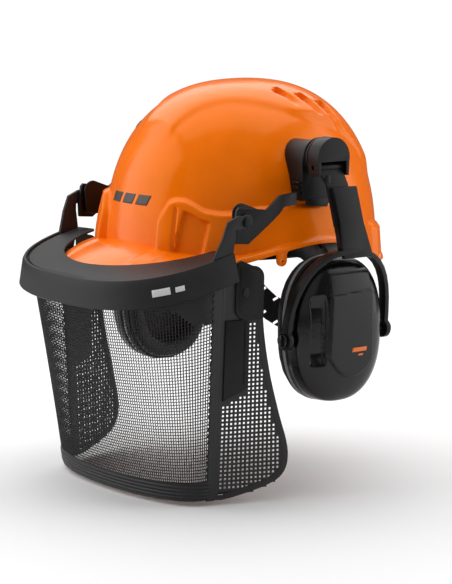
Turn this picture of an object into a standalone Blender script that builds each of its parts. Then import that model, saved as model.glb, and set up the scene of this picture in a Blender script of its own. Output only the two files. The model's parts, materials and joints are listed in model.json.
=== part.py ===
"""Forestry helmet: hard-hat shell with inner harness, swing-up mesh visor and two ear muffs on sprung arms.

Metres, +Z up. The wearer looks along -Y and the wearer's left is +X. The origin is the middle of the head
opening, at the height of the shell's rim, where the helmet sits on the head.
"""

import math

import bmesh
import bpy
from mathutils import Vector

# Shell ---------------------------------------------------------------------------------------------------
DOME_HALF_WIDTH = 0.104
DOME_HALF_LENGTH = 0.122
DOME_HEIGHT = 0.149
DOME_PLAN_POWER = 2.2  # how square the dome is seen from above: 2 is an ellipse
DOME_SIDE_POWER = 2.4  # how full the dome's shoulder is
SHELL_WALL = 0.0025
BAND_TOP = 0.050  # height of the ledge where the lower band stands out from the dome
BAND_PROUD = 0.0045
BAND_FLARE = 0.0035  # further spread of the band from its ledge to the rim
BAND_START = 20.5  # degrees from the front, where the band begins beside the brow
REAR_TRIM = 0.45  # share of the band's stand-out that is lost at the back of the head
REAR_LEDGE_DROP = 0.026
REAR_FROM = 98.0  # degrees from the front, where the band begins to shrink and drop
REAR_TURN = 30.0  # degrees over which it does
PEAK_CROWN = 0.002  # crown of the peak between its root and its edge
LIP_HEIGHT = 0.005
LIP_REACH = 0.003
PEAK_REACH = 0.050
PEAK_EDGE_Z = -0.0045
RIM_STATIONS = ((0, 0.013), (50, 0.006), (90, 0.019), (135, -0.007), (180, -0.005))  # degrees, height
VENT_LENGTH = 0.020
VENT_WIDTH = 0.005
VENT_SPOTS = ((0.482, 0.075), (0.545, 0.240), (0.575, 0.395))  # shares of the dome's half width and half length
LUG_Y = -0.042
LUG_WIDTH = 0.0095
LUG_DEPTH = 0.0105
LUG_STOCK = 0.0032
LUG_HOLE_RADIUS = 0.0014
LUG_BURY = 0.003

# Inner harness -------------------------------------------------------------------------------------------
HEADBAND_HALF_WIDTH = 0.080
HEADBAND_HALF_LENGTH = 0.101
HEADBAND_Z = 0.018
HEADBAND_HEIGHT = 0.030
BAND_STOCK = 0.0018
NAPE_DROP = 0.091
NAPE_FROM = 85.0  # degrees from the front, where the nape strap leaves the headband
NAPE_LEVEL = 150.0  # degrees from the front, from where the nape strap runs level
NAPE_NARROWING = 0.004  # how much lower the nape strap is than the headband
NAPE_OVERLAP = 5.0  # degrees that it runs on along the headband at each end
NAPE_SLANT_HEIGHT = 0.012  # extra height of the strap where it runs down at a slant
SWEATBAND_SPREAD = 62.0
SWEATBAND_STOCK = 0.004
SWEATBAND_MARGIN = 0.002  # how much lower the sweatband is than the headband
NAPE_PAD_SPREAD = 26.0
NAPE_PAD_STOCK = 0.005
RATCHET_SPREAD = 19.0
RATCHET_STOCK = 0.009
RATCHET_HEIGHT = 0.036
RATCHET_KNOB_RADIUS = 0.015
RATCHET_KNOB_LENGTH = 0.012
RATCHET_KNOB_ROUNDING = 0.0025
CLIP_ANGLE = 40.0
CLIP_SPREAD = 4.5
CLIP_LOW = 0.012
CLIP_HIGH = 0.036
STRAP_WIDTH = 0.019
STRAP_STOCK = 0.0012
HEAD_ROOM = 0.028  # free height kept between the cradle straps and the dome

# Visor ---------------------------------------------------------------------------------------------------
PIVOT_Y = -0.0844
PIVOT_Z = 0.0434
PIVOT_OUT = 0.0125  # distance of the arm plate's inner face from the dome's half width
PIN_RADIUS = 0.0028
PIN_HEAD = 0.0018
PIN_HEAD_REACH = 0.0015  # how far the head stands out beyond the shank
PIN_HEAD_ROUNDING = 0.0004
ARM_STOCK = 0.003
ARM_BLADE = ((-0.0080, 0.0060), (-0.0192, 0.0012), (-0.0360, -0.0420), (-0.0122, -0.0420), (-0.0120, -0.0284),
             (-0.0114, -0.0060))  # y, z from the pivot, down the front edge and up the rear edge
ARM_EYE_RADIUS = 0.0062
ARM_EYE_SPAN = (-110, 125)
ARM_BEND = 0.012  # below the pivot, where the arm turns in towards the frame
ARM_FOOT_OUT = 0.0055
LINK_STOCK = 0.003
LINK_PLATE = ((0.0368, 0.0188), (0.0230, 0.0081), (-0.0055, 0.0119), (-0.0078, 0.0097), (-0.0106, -0.0055),
              (-0.0101, -0.0175), (0.0037, -0.0187), (0.0225, -0.0060), (0.0368, 0.0041),
              (0.0423, 0.0087))  # y, z from the pivot, from the tail's top round to its underside
LINK_TAIL_LOW = 0.0095  # above the pivot
LINK_TAIL_HIGH = 0.0198
LINK_TAIL_GAP = 0.004
LINK_BEND = 0.030  # behind the pivot, where the plate turns in towards the carrier
LINK_STEP = 0.002  # how far inside the carrier's outer face the tail ends
FRAME_INNER_FOOT_Y = -0.090
FRAME_FOOT_Y = -0.096
FRAME_OUT = 0.014  # top edge beyond the dome's half width
FRAME_SKIRT_OUT = 0.020
FRAME_FRONT = 0.067  # top edge beyond the dome's half length
FRAME_INNER_FRONT = 0.043
FRAME_INNER_OUT = -0.016
FRAME_STOCK = 0.0025
FRAME_TOP_FOOT_Z = 0.0170
FRAME_INNER_FRONT_Z = 0.0035
FRAME_OUTER_FRONT_Z = -0.007
SKIRT_FOOT_Z = -0.004
SKIRT_FRONT_Z = -0.028
FRAME_POWER = 2.7
SEAM_Y = -0.111
SEAM_OUT = 0.0105  # seam beyond the dome's half width at the height of the rim
SEAM_TAPER = 0.07
PANEL_SPREAD = 0.16
PANEL_SPREAD_GROWTH = 1.1
MESH_STOCK = 0.0012
MESH_POWER = 2.15
MESH_TOP_FRONT_Z = -0.020
MESH_TOP_FOOT_Z = -0.005
MESH_LOW_FRONT_Z = -0.174
MESH_LOW_FOOT_Z = -0.171
MESH_TOP_FRONT = 0.061  # beyond the dome's half length
MESH_LOW_FRONT = 0.028
HEM_HEIGHT = 0.016
HEM_STOCK = 0.0026
SEAM_WIDTH = 0.0065
SEAM_STOCK = 0.0026
PANEL_EDGE = ((-0.002, -0.069), (-0.038, -0.069), (-0.080, -0.063), (-0.118, -0.054), (-0.148, -0.0465),
              (-0.166, -0.0485), (-0.176, -0.058), (-0.182, -0.074), (-0.187, -0.092))  # height, rear edge y
STIFFENER_WIDTH = 0.0205
STIFFENER_LOW_Z = -0.104
STIFFENER_SLANT = 0.010
STIFFENER_STOCK = 0.0014
CLIP_PLATE_FRONT_Y = -0.0950
CLIP_PLATE_REAR_Y = -0.0700
CLIP_PLATE_TOP_Z = 0.0065
CLIP_PLATE_LOW_Z = -0.0385
CLIP_PLATE_STOCK = 0.0018

# Ear muffs -----------------------------------------------------------------------------------------------
SWIVEL_Y = -0.005
SWIVEL_Z = 0.092
CARRIER_OUT = 0.008  # outer face beyond the dome's half width
CARRIER_BURY = 0.004  # how far its blank reaches into the dome before the dome is cut away
CARRIER_BORE = 0.0055
BOLT_RADIUS = 0.0045
CARRIER_RADIUS = 0.0165
CARRIER_CENTRE_Z = 0.0885
CARRIER_LOW_Z = 0.0555
CARRIER_LOW_HALF = 0.0165
BARREL_RADIUS = 0.0150
BARREL_LENGTH = 0.0075
BARREL_BURY = 0.004  # how far it runs on into the hood
HOOD_RADIUS = 0.0170
HOOD_DEPTH = 0.0135
HOOD_LOW_Z = 0.0770
HOOD_TAPER = 0.001  # how much narrower each side is at its foot
HOOD_SPAN = (-12, 192)  # degrees of the hood's round top
SLOT_HALF_WIDTH = 0.0135
SLOT_TOP_Z = 0.0890
TILT_PIN_DEPTH = 0.0075  # tilt axis, measured inwards from the hood's outer face
TILT_PIN_Z = 0.0840
TILT_PIN_RADIUS = 0.0018
TILT_PIN_RECESS = 0.0025  # how far its ends lie inside the hood's sides
TONGUE_EYE_RADIUS = 0.0038
TONGUE_STOCK = 0.0025
TONGUE_END_Z = 0.036
TONGUE_BEND_RISE = 0.002  # above the yoke's top, where the tongue turns down along it
TONGUE_NARROWING = 0.002
YOKE_TOP_Z = 0.0685
YOKE_LOW_Z = 0.010
YOKE_OUT = 0.0346  # inner face of the arm's top beyond the dome's half width
YOKE_TOP_HALF = 0.0124
YOKE_LOW_HALF = 0.0155
YOKE_STOCK = 0.0036
YOKE_BEHIND = 0.0045  # middle of the arm's top behind the swivel
YOKE_LEAN = 0.0085  # how much further out the arm's foot is than its top
YOKE_SET_BACK = 0.0085  # how much further back the arm's foot is than its top
BOW_BAR = 0.0042
BOW_DEPTH = 0.0085
BOW_CLEARANCE = 0.0045
BOW_RISE = 0.0035  # free height over the cup
EYE_RADIUS = 0.0082
STUD_RADIUS = 0.0030
STUD_HEAD_RADIUS = 0.0058
STUD_HEAD = 0.0026
STUD_ROUNDING = 0.0008
CUP_Z = -0.0515
CUP_HALF_WIDTH = 0.0460
CUP_HALF_HEIGHT = 0.0615
CUP_POWER = 2.4
CUP_OUT = 0.016  # cup's inner rim plane beyond the dome's half width
CUP_DEPTH = 0.027
CUP_WALL = 0.0025
CUP_PROFILE = ((0.0, 0.0), (0.45, 0.0), (0.70, 0.0035), (0.90, 0.0095), (1.0, 0.0165))  # depth share, inset
CUP_PIVOT_Z = -0.056
CUP_PIVOT_DEPTH = 0.010
COVER_STOCK = 0.0026
COVER_INSET = 0.001
COVER_CHAMFER = 0.002
COVER_HALF_WIDTH = 0.0240
RING_STOCK = 0.0040
RING_WIDTH = 0.014
RING_PROUD = 0.001  # how far it stands out round the cup
CUSHION_STOCK = 0.0125
CUSHION_WIDTH = 0.019
FOAM_STOCK = 0.016
FOAM_GAP = 0.0075  # free room between the foam and the cup's wall

# Fits and facets -----------------------------------------------------------------------------------------
GAP = 0.0003
RUNNING_GAP = 0.0004
SHELL_GAP = 0.0006
COLUMNS = 56
DOME_ROWS = 7
ARC_STEPS = 14
TURN_STEPS = 16
SMOOTH_ANGLE = math.radians(35)
SIDES = (("left", 1.0), ("right", -1.0))

FINISH_VALUES = {  # colour, roughness, metallic
    "orange_shell": ((0.90, 0.22, 0.01), 0.22, 0.0),
    "black_plastic": ((0.030, 0.030, 0.032), 0.42, 0.0),
    "gloss_black": ((0.018, 0.018, 0.020), 0.25, 0.0),
    "visor_mesh": ((0.025, 0.025, 0.027), 0.55, 0.0),
    "grey_ring": ((0.35, 0.36, 0.37), 0.35, 0.0),
    "cushion": ((0.022, 0.022, 0.024), 0.50, 0.0),
    "foam": ((0.05, 0.05, 0.055), 0.95, 0.0),
    "webbing": ((0.04, 0.04, 0.045), 0.85, 0.0),
    "steel": ((0.55, 0.56, 0.58), 0.30, 1.0),
}


# Scene and finish helpers --------------------------------------------------------------------------------
def clear_scene():
    for old in list(bpy.data.objects):
        bpy.data.objects.remove(old, do_unlink=True)


def new_collection(name):
    collection = bpy.data.collections.new(name)
    bpy.context.scene.collection.children.link(collection)
    return collection


def make_finishes():
    finishes = {}
    for name, (colour, roughness, metallic) in FINISH_VALUES.items():
        finish = bpy.data.materials.new(name)
        finish.use_nodes = True
        shader = finish.node_tree.nodes["Principled BSDF"]
        shader.inputs["Base Color"].default_value = (*colour, 1.0)
        shader.inputs["Roughness"].default_value = roughness
        shader.inputs["Metallic"].default_value = metallic
        finishes[name] = finish
    return finishes


clear_scene()
PARTS = new_collection("forestry_helmet")
CUTTERS = new_collection("cutters")
FINISHES = make_finishes()


def add_part(name, bm, finish, pivot=(0.0, 0.0, 0.0), sign=1.0):
    """Turn a bmesh into a named part whose origin is at pivot. A sign of -1 mirrors it to the right side."""
    bmesh.ops.scale(bm, vec=(sign, 1.0, 1.0), verts=bm.verts)
    if sign < 0:
        bmesh.ops.reverse_faces(bm, faces=bm.faces)
    pivot = Vector((sign * pivot[0], pivot[1], pivot[2]))
    bmesh.ops.translate(bm, vec=-pivot, verts=bm.verts)
    mesh = bpy.data.meshes.new(name)
    bm.to_mesh(mesh)
    bm.free()
    mesh.materials.append(FINISHES[finish])
    mesh.shade_smooth()
    mesh.set_sharp_from_angle(angle=SMOOTH_ANGLE)
    part = bpy.data.objects.new(name, mesh)
    part.location = pivot
    PARTS.objects.link(part)
    return part


def as_helper(part):
    """Move a part among the cutters, where it is neither built nor rendered."""
    PARTS.objects.unlink(part)
    CUTTERS.objects.link(part)
    part.hide_render = True
    part.display_type = "WIRE"
    return part


def combine(part, helper, operation):
    modifier = part.modifiers.new(operation.lower(), "BOOLEAN")
    modifier.operation = operation
    modifier.object = as_helper(helper)
    modifier.solver = "EXACT"


def thicken(part, thickness, offset=-1.0):
    modifier = part.modifiers.new("wall", "SOLIDIFY")
    modifier.thickness = thickness
    modifier.offset = offset


# Shape helpers -------------------------------------------------------------------------------------------
def smooth(t):
    t = min(1.0, max(0.0, t))
    return t * t * (3 - 2 * t)


def mix(a, b, t):
    return a + (b - a) * t


def superellipse(half_x, half_y, power, degrees):
    """Plan point at an angle counted from the front (-Y) over the wearer's left (+X)."""
    s = math.sin(math.radians(degrees))
    c = math.cos(math.radians(degrees))
    x = half_x * math.copysign(abs(s) ** (2 / power), s)
    y = -half_y * math.copysign(abs(c) ** (2 / power), c)
    return x, y


def sweep(sections, closed):
    """Solid through cross-sections of equal point count, either run round in a loop or capped at both ends."""
    bm = bmesh.new()
    rows = [[bm.verts.new(point) for point in section] for section in sections]
    pairs = list(zip(rows, rows[1:]))
    if closed:
        pairs.append((rows[-1], rows[0]))
    for this, that in pairs:
        for i in range(len(this)):
            j = (i + 1) % len(this)
            bm.faces.new((this[i], this[j], that[j], that[i]))
    if not closed:
        bm.faces.new(rows[0])
        bm.faces.new(rows[-1])
    bmesh.ops.recalc_face_normals(bm, faces=bm.faces)
    return bm


def sheet(rows, inside, pole=None, wrap=False):
    """Open surface through rows of points, its faces turned away from the point inside."""
    bm = bmesh.new()
    grid = [[bm.verts.new(point) for point in row] for row in rows]
    for this, that in zip(grid, grid[1:]):
        for i in range(len(this) if wrap else len(this) - 1):
            j = (i + 1) % len(this)
            bm.faces.new((this[i], this[j], that[j], that[i]))
    if pole is not None:
        top = bm.verts.new(pole)
        for i in range(len(grid[0])):
            bm.faces.new((top, grid[0][(i + 1) % len(grid[0])], grid[0][i]))
    bmesh.ops.recalc_face_normals(bm, faces=bm.faces)
    bm.normal_update()
    facing = sum(face.normal.dot(face.calc_center_median() - Vector(inside)) for face in bm.faces)
    if facing < 0:
        bmesh.ops.reverse_faces(bm, faces=bm.faces)
    return bm


def plate(outline, inner_x, outer_x):
    """Flat plate with an outline in Y and Z, between two planes across X."""
    return sweep([[(inner_x, y, z) for y, z in outline], [(outer_x, y, z) for y, z in outline]], closed=False)


def turned(name, profile, at, direction, finish, steps=TURN_STEPS):
    """Turned piece: profile of (radius, height) from top to bottom, turned about direction through at."""
    bm = bmesh.new()
    points = [bm.verts.new((radius, 0.0, height)) for radius, height in profile]
    for start, end in zip(points, points[1:]):
        bm.edges.new((start, end))
    part = add_part(name, bm, finish)
    screw = part.modifiers.new("turn", "SCREW")
    screw.axis = "Z"
    screw.steps = steps
    screw.render_steps = steps
    screw.use_merge_vertices = True
    screw.merge_threshold = 0.00001
    part.rotation_mode = "QUATERNION"
    part.rotation_quaternion = Vector((0.0, 0.0, 1.0)).rotation_difference(Vector(direction))
    part.location = at
    return part


def rod(name, start, end, radius, finish, steps=TURN_STEPS):
    """Plain round bar between two points."""
    start = Vector(start)
    end = Vector(end)
    length = (end - start).length
    profile = [(0.0, length), (radius, length), (radius, 0.0), (0.0, 0.0)]
    return turned(name, profile, start, end - start, finish, steps)


def arc(centre_y, centre_z, radius, start, end, steps=ARC_STEPS):
    """Points in Y and Z on an arc, its angles in degrees from +Y towards +Z."""
    points = []
    for i in range(steps + 1):
        angle = math.radians(mix(start, end, i / steps))
        points.append((centre_y + radius * math.cos(angle), centre_z + radius * math.sin(angle)))
    return points


# Shell ---------------------------------------------------------------------------------------------------
def dome_share(z, grow=0.0):
    """Share of the dome's full plan size that is left at a height."""
    height = DOME_HEIGHT + grow
    return (1 - min(1.0, max(0.0, z / height)) ** DOME_SIDE_POWER) ** (1 / DOME_SIDE_POWER)


def dome_height_at(x, y):
    """Height of the dome over a plan point."""
    across = abs(x / DOME_HALF_WIDTH) ** DOME_PLAN_POWER
    along = abs(y / DOME_HALF_LENGTH) ** DOME_PLAN_POWER
    share = (across + along) ** (1 / DOME_PLAN_POWER)
    return DOME_HEIGHT * (1 - share ** DOME_SIDE_POWER) ** (1 / DOME_SIDE_POWER)


def folded(degrees):
    """Angle from the front, the same on both sides."""
    degrees = degrees % 360
    return min(degrees, 360 - degrees)


def rim_height(degrees):
    """Height of the rim at an angle from the front."""
    angle = folded(degrees)
    for (start, low), (end, high) in zip(RIM_STATIONS, RIM_STATIONS[1:]):
        if angle <= end:
            return mix(low, high, smooth((angle - start) / (end - start)))
    return RIM_STATIONS[-1][1]


def band_share(degrees):
    """0 on the smooth brow, 1 where the band stands out."""
    return smooth((folded(degrees) - BAND_START + 1) / 2)


def rear_share(degrees):
    """0 at the front and the sides, 1 at the back of the head."""
    return smooth((folded(degrees) - REAR_FROM) / REAR_TURN)


def plan_spread():
    """How far the rim's upper edge stands out from the dome."""
    return BAND_PROUD + BAND_FLARE


def rim_x(y, extra=0.0):
    """Half width of the band at the rim, at a distance y along the helmet."""
    half_x = DOME_HALF_WIDTH + plan_spread() + LIP_REACH + extra
    half_y = DOME_HALF_LENGTH + plan_spread() + LIP_REACH + extra
    return half_x * (1 - abs(y / half_y) ** DOME_PLAN_POWER) ** (1 / DOME_PLAN_POWER)


def shell_angles():
    """Angles of the shell's columns, with two more at each end of the band."""
    step = 360 / COLUMNS
    angles = [i * step for i in range(COLUMNS)]
    for edge in (BAND_START - 1, BAND_START + 1):
        angles += [edge, 360 - edge]
    return sorted(angles)


def shell_rows(grow=0.0):
    """Rows of the shell's outer face, from below the crown to the rim, moved out by grow."""
    ledge = math.asin((BAND_TOP / DOME_HEIGHT) ** (DOME_SIDE_POWER / 2))
    rows = []
    for k in range(1, DOME_ROWS + 1):
        lift = math.pi / 2 + (ledge - math.pi / 2) * k / DOME_ROWS
        share = math.cos(lift) ** (2 / DOME_SIDE_POWER)
        z = (DOME_HEIGHT + grow) * math.sin(lift) ** (2 / DOME_SIDE_POWER)
        half_x = (DOME_HALF_WIDTH + grow) * share
        half_y = (DOME_HALF_LENGTH + grow) * share
        rows.append([(*superellipse(half_x, half_y, DOME_PLAN_POWER, u), z) for u in shell_angles()])
    ledge_row = []
    root_row = []
    middle_row = []
    edge_row = []
    for u in shell_angles():
        band = band_share(u)
        rear = rear_share(u)
        trim = 1 - REAR_TRIM * rear
        z = BAND_TOP - BAND_PROUD / 2 - REAR_LEDGE_DROP * rear + grow
        size = BAND_PROUD * band * trim + grow
        share = dome_share(z)
        ledge_xy = superellipse(DOME_HALF_WIDTH * share + size, DOME_HALF_LENGTH * share + size, DOME_PLAN_POWER, u)
        ledge_row.append((*ledge_xy, z))
        size = plan_spread() * band * trim + grow
        root_z = rim_height(u) + LIP_HEIGHT
        share = dome_share(root_z)
        root_xy = superellipse(DOME_HALF_WIDTH * share + size, DOME_HALF_LENGTH * share + size, DOME_PLAN_POWER, u)
        root = (*root_xy, root_z)
        root_row.append(root)
        spread = (plan_spread() + LIP_REACH) * trim + grow
        x, y = superellipse(DOME_HALF_WIDTH + spread, DOME_HALF_LENGTH + spread, DOME_PLAN_POWER, u)
        forward = max(0.0, math.cos(math.radians(u)))
        if forward > 0:
            y = -(DOME_HALF_LENGTH + PEAK_REACH + grow) * forward
        edge = (x, y, mix(rim_height(u), PEAK_EDGE_Z, forward ** 2))
        edge_row.append(edge)
        middle = [mix(a, b, 0.5) for a, b in zip(root, edge)]
        middle[2] += PEAK_CROWN * forward ** 2
        middle_row.append(tuple(middle))
    return rows + [ledge_row, root_row, middle_row, edge_row]


def vent_cutter():
    """Six slots through the rear of the crown, three on each side."""
    bm = bmesh.new()
    for sign in (1.0, -1.0):
        for share_x, share_y in VENT_SPOTS:
            x = share_x * DOME_HALF_WIDTH
            y = share_y * DOME_HALF_LENGTH
            z = dome_height_at(x, y)
            slope_x = (dome_height_at(x + GAP, y) - dome_height_at(x - GAP, y)) / (2 * GAP)
            slope_y = (dome_height_at(x, y + GAP) - dome_height_at(x, y - GAP)) / (2 * GAP)
            normal = Vector((-slope_x * sign, -slope_y, 1.0)).normalized()
            matrix = normal.to_track_quat("Z", "Y").to_matrix().to_4x4()
            matrix.translation = (x * sign, y, z)
            slot = bmesh.ops.create_cube(bm, size=1.0)["verts"]
            bmesh.ops.scale(bm, vec=(VENT_WIDTH, VENT_LENGTH, 8 * SHELL_WALL), verts=slot)
            bmesh.ops.transform(bm, matrix=matrix, verts=slot)
    return add_part("vent_cutter", bm, "orange_shell")


def lug(name, sign):
    """Chin-strap lug that hangs from the rim."""
    angle = math.degrees(math.acos(min(1.0, -LUG_Y / (DOME_HALF_LENGTH + plan_spread()))))
    rim = rim_height(angle)
    radius = LUG_WIDTH / 2
    outer = rim_x(LUG_Y + radius, GAP)
    low_z = rim - LUG_DEPTH + radius
    outline = [(LUG_Y + radius, rim + LUG_BURY)]
    outline += arc(LUG_Y, low_z, radius, 0, -180)
    outline += [(LUG_Y - radius, rim + LUG_BURY)]
    part = add_part(name, plate(outline, outer - LUG_STOCK, outer), "orange_shell", sign=sign)
    hole = rod(name + "_hole", (sign * (outer - 3 * SHELL_WALL), LUG_Y, low_z),
               (sign * (outer + 2 * SHELL_WALL), LUG_Y, low_z), LUG_HOLE_RADIUS, "orange_shell")
    combine(part, hole, "DIFFERENCE")
    return part


def build_shell():
    """Hard shell with its vents and its two chin-strap lugs."""
    bm = sheet(shell_rows(), inside=(0.0, 0.0, BAND_TOP), pole=(0.0, 0.0, DOME_HEIGHT), wrap=True)
    shell = add_part("shell", bm, "orange_shell")
    thicken(shell, SHELL_WALL)
    combine(shell, vent_cutter(), "DIFFERENCE")
    for side, sign in SIDES:
        combine(shell, lug("chin_lug_" + side, sign), "UNION")


# Inner harness -------------------------------------------------------------------------------------------
def harness_section(u, offset, stock, low, high):
    """Upright strip section on the headband's oval, from offset outwards through its stock."""
    section = []
    for out, z in ((offset, low), (offset + stock, low), (offset + stock, high), (offset, high)):
        section.append((*superellipse(HEADBAND_HALF_WIDTH + out, HEADBAND_HALF_LENGTH + out, 2.0, u), z))
    return section


def strip(name, finish, start, end, steps, offset, stock, middle, height):
    """Strip along the headband's oval. middle and height are functions of the angle."""
    sections = []
    for i in range(steps + 1):
        u = mix(start, end, i / steps)
        low = middle(u) - height(u) / 2
        sections.append(harness_section(u, offset, stock, low, low + height(u)))
    return add_part(name, sweep(sections, closed=False), finish)


def nape_share(u):
    """How far the nape strap has come down at an angle: 0 at the headband, 1 at the nape."""
    return smooth((folded(u) - NAPE_FROM) / (NAPE_LEVEL - NAPE_FROM))


def nape_middle(u):
    """Height of the nape strap's middle at an angle."""
    return HEADBAND_Z - NAPE_DROP * nape_share(u)


def nape_height(u):
    """Height of the nape strap's band at an angle."""
    slant = math.sin(math.pi * nape_share(u))
    return HEADBAND_HEIGHT - NAPE_NARROWING + NAPE_SLANT_HEIGHT * slant


def build_headband():
    """Headband with its sweatband, and the nape strap with its pad."""
    low = HEADBAND_Z - HEADBAND_HEIGHT / 2
    high = HEADBAND_Z + HEADBAND_HEIGHT / 2
    steps = 44
    sections = [harness_section(360 * i / steps, -BAND_STOCK, BAND_STOCK, low, high) for i in range(steps)]
    add_part("headband", sweep(sections, closed=True), "black_plastic")
    strip("sweatband", "foam", -SWEATBAND_SPREAD, SWEATBAND_SPREAD, 16, -BAND_STOCK - GAP - SWEATBAND_STOCK,
          SWEATBAND_STOCK, lambda u: HEADBAND_Z, lambda u: HEADBAND_HEIGHT - SWEATBAND_MARGIN)
    strip("nape_strap", "black_plastic", NAPE_FROM - NAPE_OVERLAP, 360 + NAPE_OVERLAP - NAPE_FROM, 36, GAP, BAND_STOCK,
          nape_middle, nape_height)
    strip("nape_pad", "foam", 180 - NAPE_PAD_SPREAD, 180 + NAPE_PAD_SPREAD, 8, -GAP - NAPE_PAD_STOCK,
          NAPE_PAD_STOCK, nape_middle, lambda u: HEADBAND_HEIGHT)


def build_nape_ratchet():
    """Ratchet housing on the nape strap and the knob behind it."""
    outer = 2 * GAP + BAND_STOCK
    strip("nape_ratchet_housing", "black_plastic", 180 - RATCHET_SPREAD, 180 + RATCHET_SPREAD, 8, outer,
          RATCHET_STOCK, nape_middle, lambda u: RATCHET_HEIGHT)
    start = HEADBAND_HALF_LENGTH + outer + RATCHET_STOCK + RUNNING_GAP
    rounding = RATCHET_KNOB_ROUNDING
    profile = [(0.0, RATCHET_KNOB_LENGTH), (RATCHET_KNOB_RADIUS - rounding, RATCHET_KNOB_LENGTH),
               (RATCHET_KNOB_RADIUS, RATCHET_KNOB_LENGTH - rounding), (RATCHET_KNOB_RADIUS, 0.0), (0.0, 0.0)]
    turned("nape_ratchet_knob", profile, (0.0, start, HEADBAND_Z - NAPE_DROP), (0.0, 1.0, 0.0),
           "black_plastic", steps=20)


def clip_reach(degrees):
    """Plan half sizes of the shell's inner wall, less a gap, where a hanger clip meets it."""
    inner = BAND_PROUD * (1 - rear_share(degrees)) - SHELL_WALL - 2 * SHELL_GAP
    share = dome_share(CLIP_HIGH)
    return DOME_HALF_WIDTH * share + inner, DOME_HALF_LENGTH * share + inner


def build_cradle():
    """Four clips between the headband and the shell, and the two crossed straps over the head."""
    inner_out = BAND_STOCK + 2 * GAP
    for name, angle in (("front_left", CLIP_ANGLE), ("front_right", -CLIP_ANGLE),
                        ("rear_left", 180 - CLIP_ANGLE), ("rear_right", CLIP_ANGLE - 180)):
        outer_x, outer_y = clip_reach(angle)
        ends = []
        for u in (angle - CLIP_SPREAD, angle + CLIP_SPREAD):
            near = superellipse(HEADBAND_HALF_WIDTH + inner_out, HEADBAND_HALF_LENGTH + inner_out, 2.0, u)
            far = superellipse(outer_x, outer_y, DOME_PLAN_POWER, u)
            ends.append([(*near, CLIP_LOW), (*far, CLIP_LOW), (*far, CLIP_HIGH), (*near, CLIP_HIGH)])
        add_part("hanger_clip_" + name, sweep(ends, closed=False), "black_plastic")
    outer_x, outer_y = clip_reach(180 - CLIP_ANGLE)
    apex = DOME_HEIGHT - SHELL_WALL - HEAD_ROOM
    for index, turn in enumerate((CLIP_ANGLE, -CLIP_ANGLE)):
        x, y = superellipse((outer_x + HEADBAND_HALF_WIDTH) / 2, (outer_y + HEADBAND_HALF_LENGTH) / 2, 2.1, turn)
        across = Vector((-y, x, 0.0)).normalized() * STRAP_WIDTH / 2
        rise = apex - index * 2 * STRAP_STOCK - CLIP_HIGH - GAP
        sections = []
        steps = 20
        for i in range(steps + 1):
            flat, lift = superellipse(1.0, 1.0, DOME_PLAN_POWER, mix(90, -90, i / steps))
            centre = Vector((x * flat, y * flat, CLIP_HIGH + GAP - rise * lift))
            outward = Vector((x * flat, y * flat, 0.0)).normalized() * abs(flat) ** 2
            outward = (outward + Vector((0.0, 0.0, -lift))).normalized() * STRAP_STOCK
            sections.append([centre - across, centre + across, centre + across - outward,
                             centre - across - outward])
        add_part(f"cradle_strap_{index + 1}", sweep(sections, closed=False), "webbing")


# Visor ---------------------------------------------------------------------------------------------------
def edge_half_width(width, foot_y, front_y, power, y):
    share = min(1.0, max(0.0, (y - foot_y) / (front_y - foot_y)))
    return width * (1 - share ** power) ** (1 / power)


def frame_section(t):
    """Section of the visor frame at t from its front middle, 0, to its left foot, 1."""
    top_width = DOME_HALF_WIDTH + FRAME_OUT
    low_width = DOME_HALF_WIDTH + FRAME_SKIRT_OUT
    front = -(DOME_HALF_LENGTH + FRAME_FRONT)
    inner_front = -(DOME_HALF_LENGTH + FRAME_INNER_FRONT)
    top = superellipse(top_width, 1.0, FRAME_POWER, 90 * t)
    y_share = -top[1]
    top_y = mix(FRAME_FOOT_Y, front, y_share)
    low_y = mix(FRAME_FOOT_Y, front - 0.001, y_share)
    low_x = low_width * top[0] / top_width
    inner_y = mix(FRAME_FOOT_Y, inner_front, math.cos(math.pi / 2 * t))
    inner_x = edge_half_width(DOME_HALF_WIDTH + FRAME_INNER_OUT, FRAME_INNER_FOOT_Y, inner_front, 2.0, inner_y)
    if inner_y > -DOME_HALF_LENGTH * 0.85:
        inner_x = max(inner_x, rim_x(inner_y) + 4 * RUNNING_GAP)
    along = (inner_y - FRAME_FOOT_Y) / (inner_front - FRAME_FOOT_Y)
    inner_z = mix(FRAME_TOP_FOOT_Z, FRAME_INNER_FRONT_Z, along)
    top_z = mix(FRAME_TOP_FOOT_Z, FRAME_OUTER_FRONT_Z, y_share)
    low_z = mix(SKIRT_FOOT_Z, SKIRT_FRONT_Z, y_share)
    inward = Vector((-top[0] / top_width, y_share, 0.0)).normalized() * FRAME_STOCK
    return [
        Vector((inner_x, inner_y, inner_z)),
        Vector((top[0], top_y, top_z)),
        Vector((low_x, low_y, low_z)),
        Vector((low_x, low_y, low_z)) + inward,
        Vector((top[0], top_y, top_z - FRAME_STOCK)) + inward,
        Vector((inner_x, inner_y, inner_z - FRAME_STOCK * 0.6)),
    ]


def frame_bed(t):
    """Section of the room that the frame takes under its top face, which trims what stands on it."""
    inner, outer = frame_section(t)[:2]
    lift = Vector((0.0, 0.0, GAP))
    deep = Vector((0.0, 0.0, -0.06))
    past = (outer - inner).normalized() * 0.02
    return [inner + lift, outer + lift, outer + past + lift, outer + past + deep, inner + deep]


def build_frame():
    """Crescent frame round the peak, which carries the mesh."""
    steps = 16
    half = [frame_section(i / steps) for i in range(steps + 1)]
    mirrored = [[Vector((-point.x, point.y, point.z)) for point in section] for section in half[:0:-1]]
    add_part("visor_frame", sweep(mirrored + half, closed=False), "black_plastic", pivot=(0, PIVOT_Y, PIVOT_Z))


def seam_x(z):
    """Half width of the visor at the seam between mesh and side panel."""
    return DOME_HALF_WIDTH + SEAM_OUT + SEAM_TAPER * z


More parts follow.
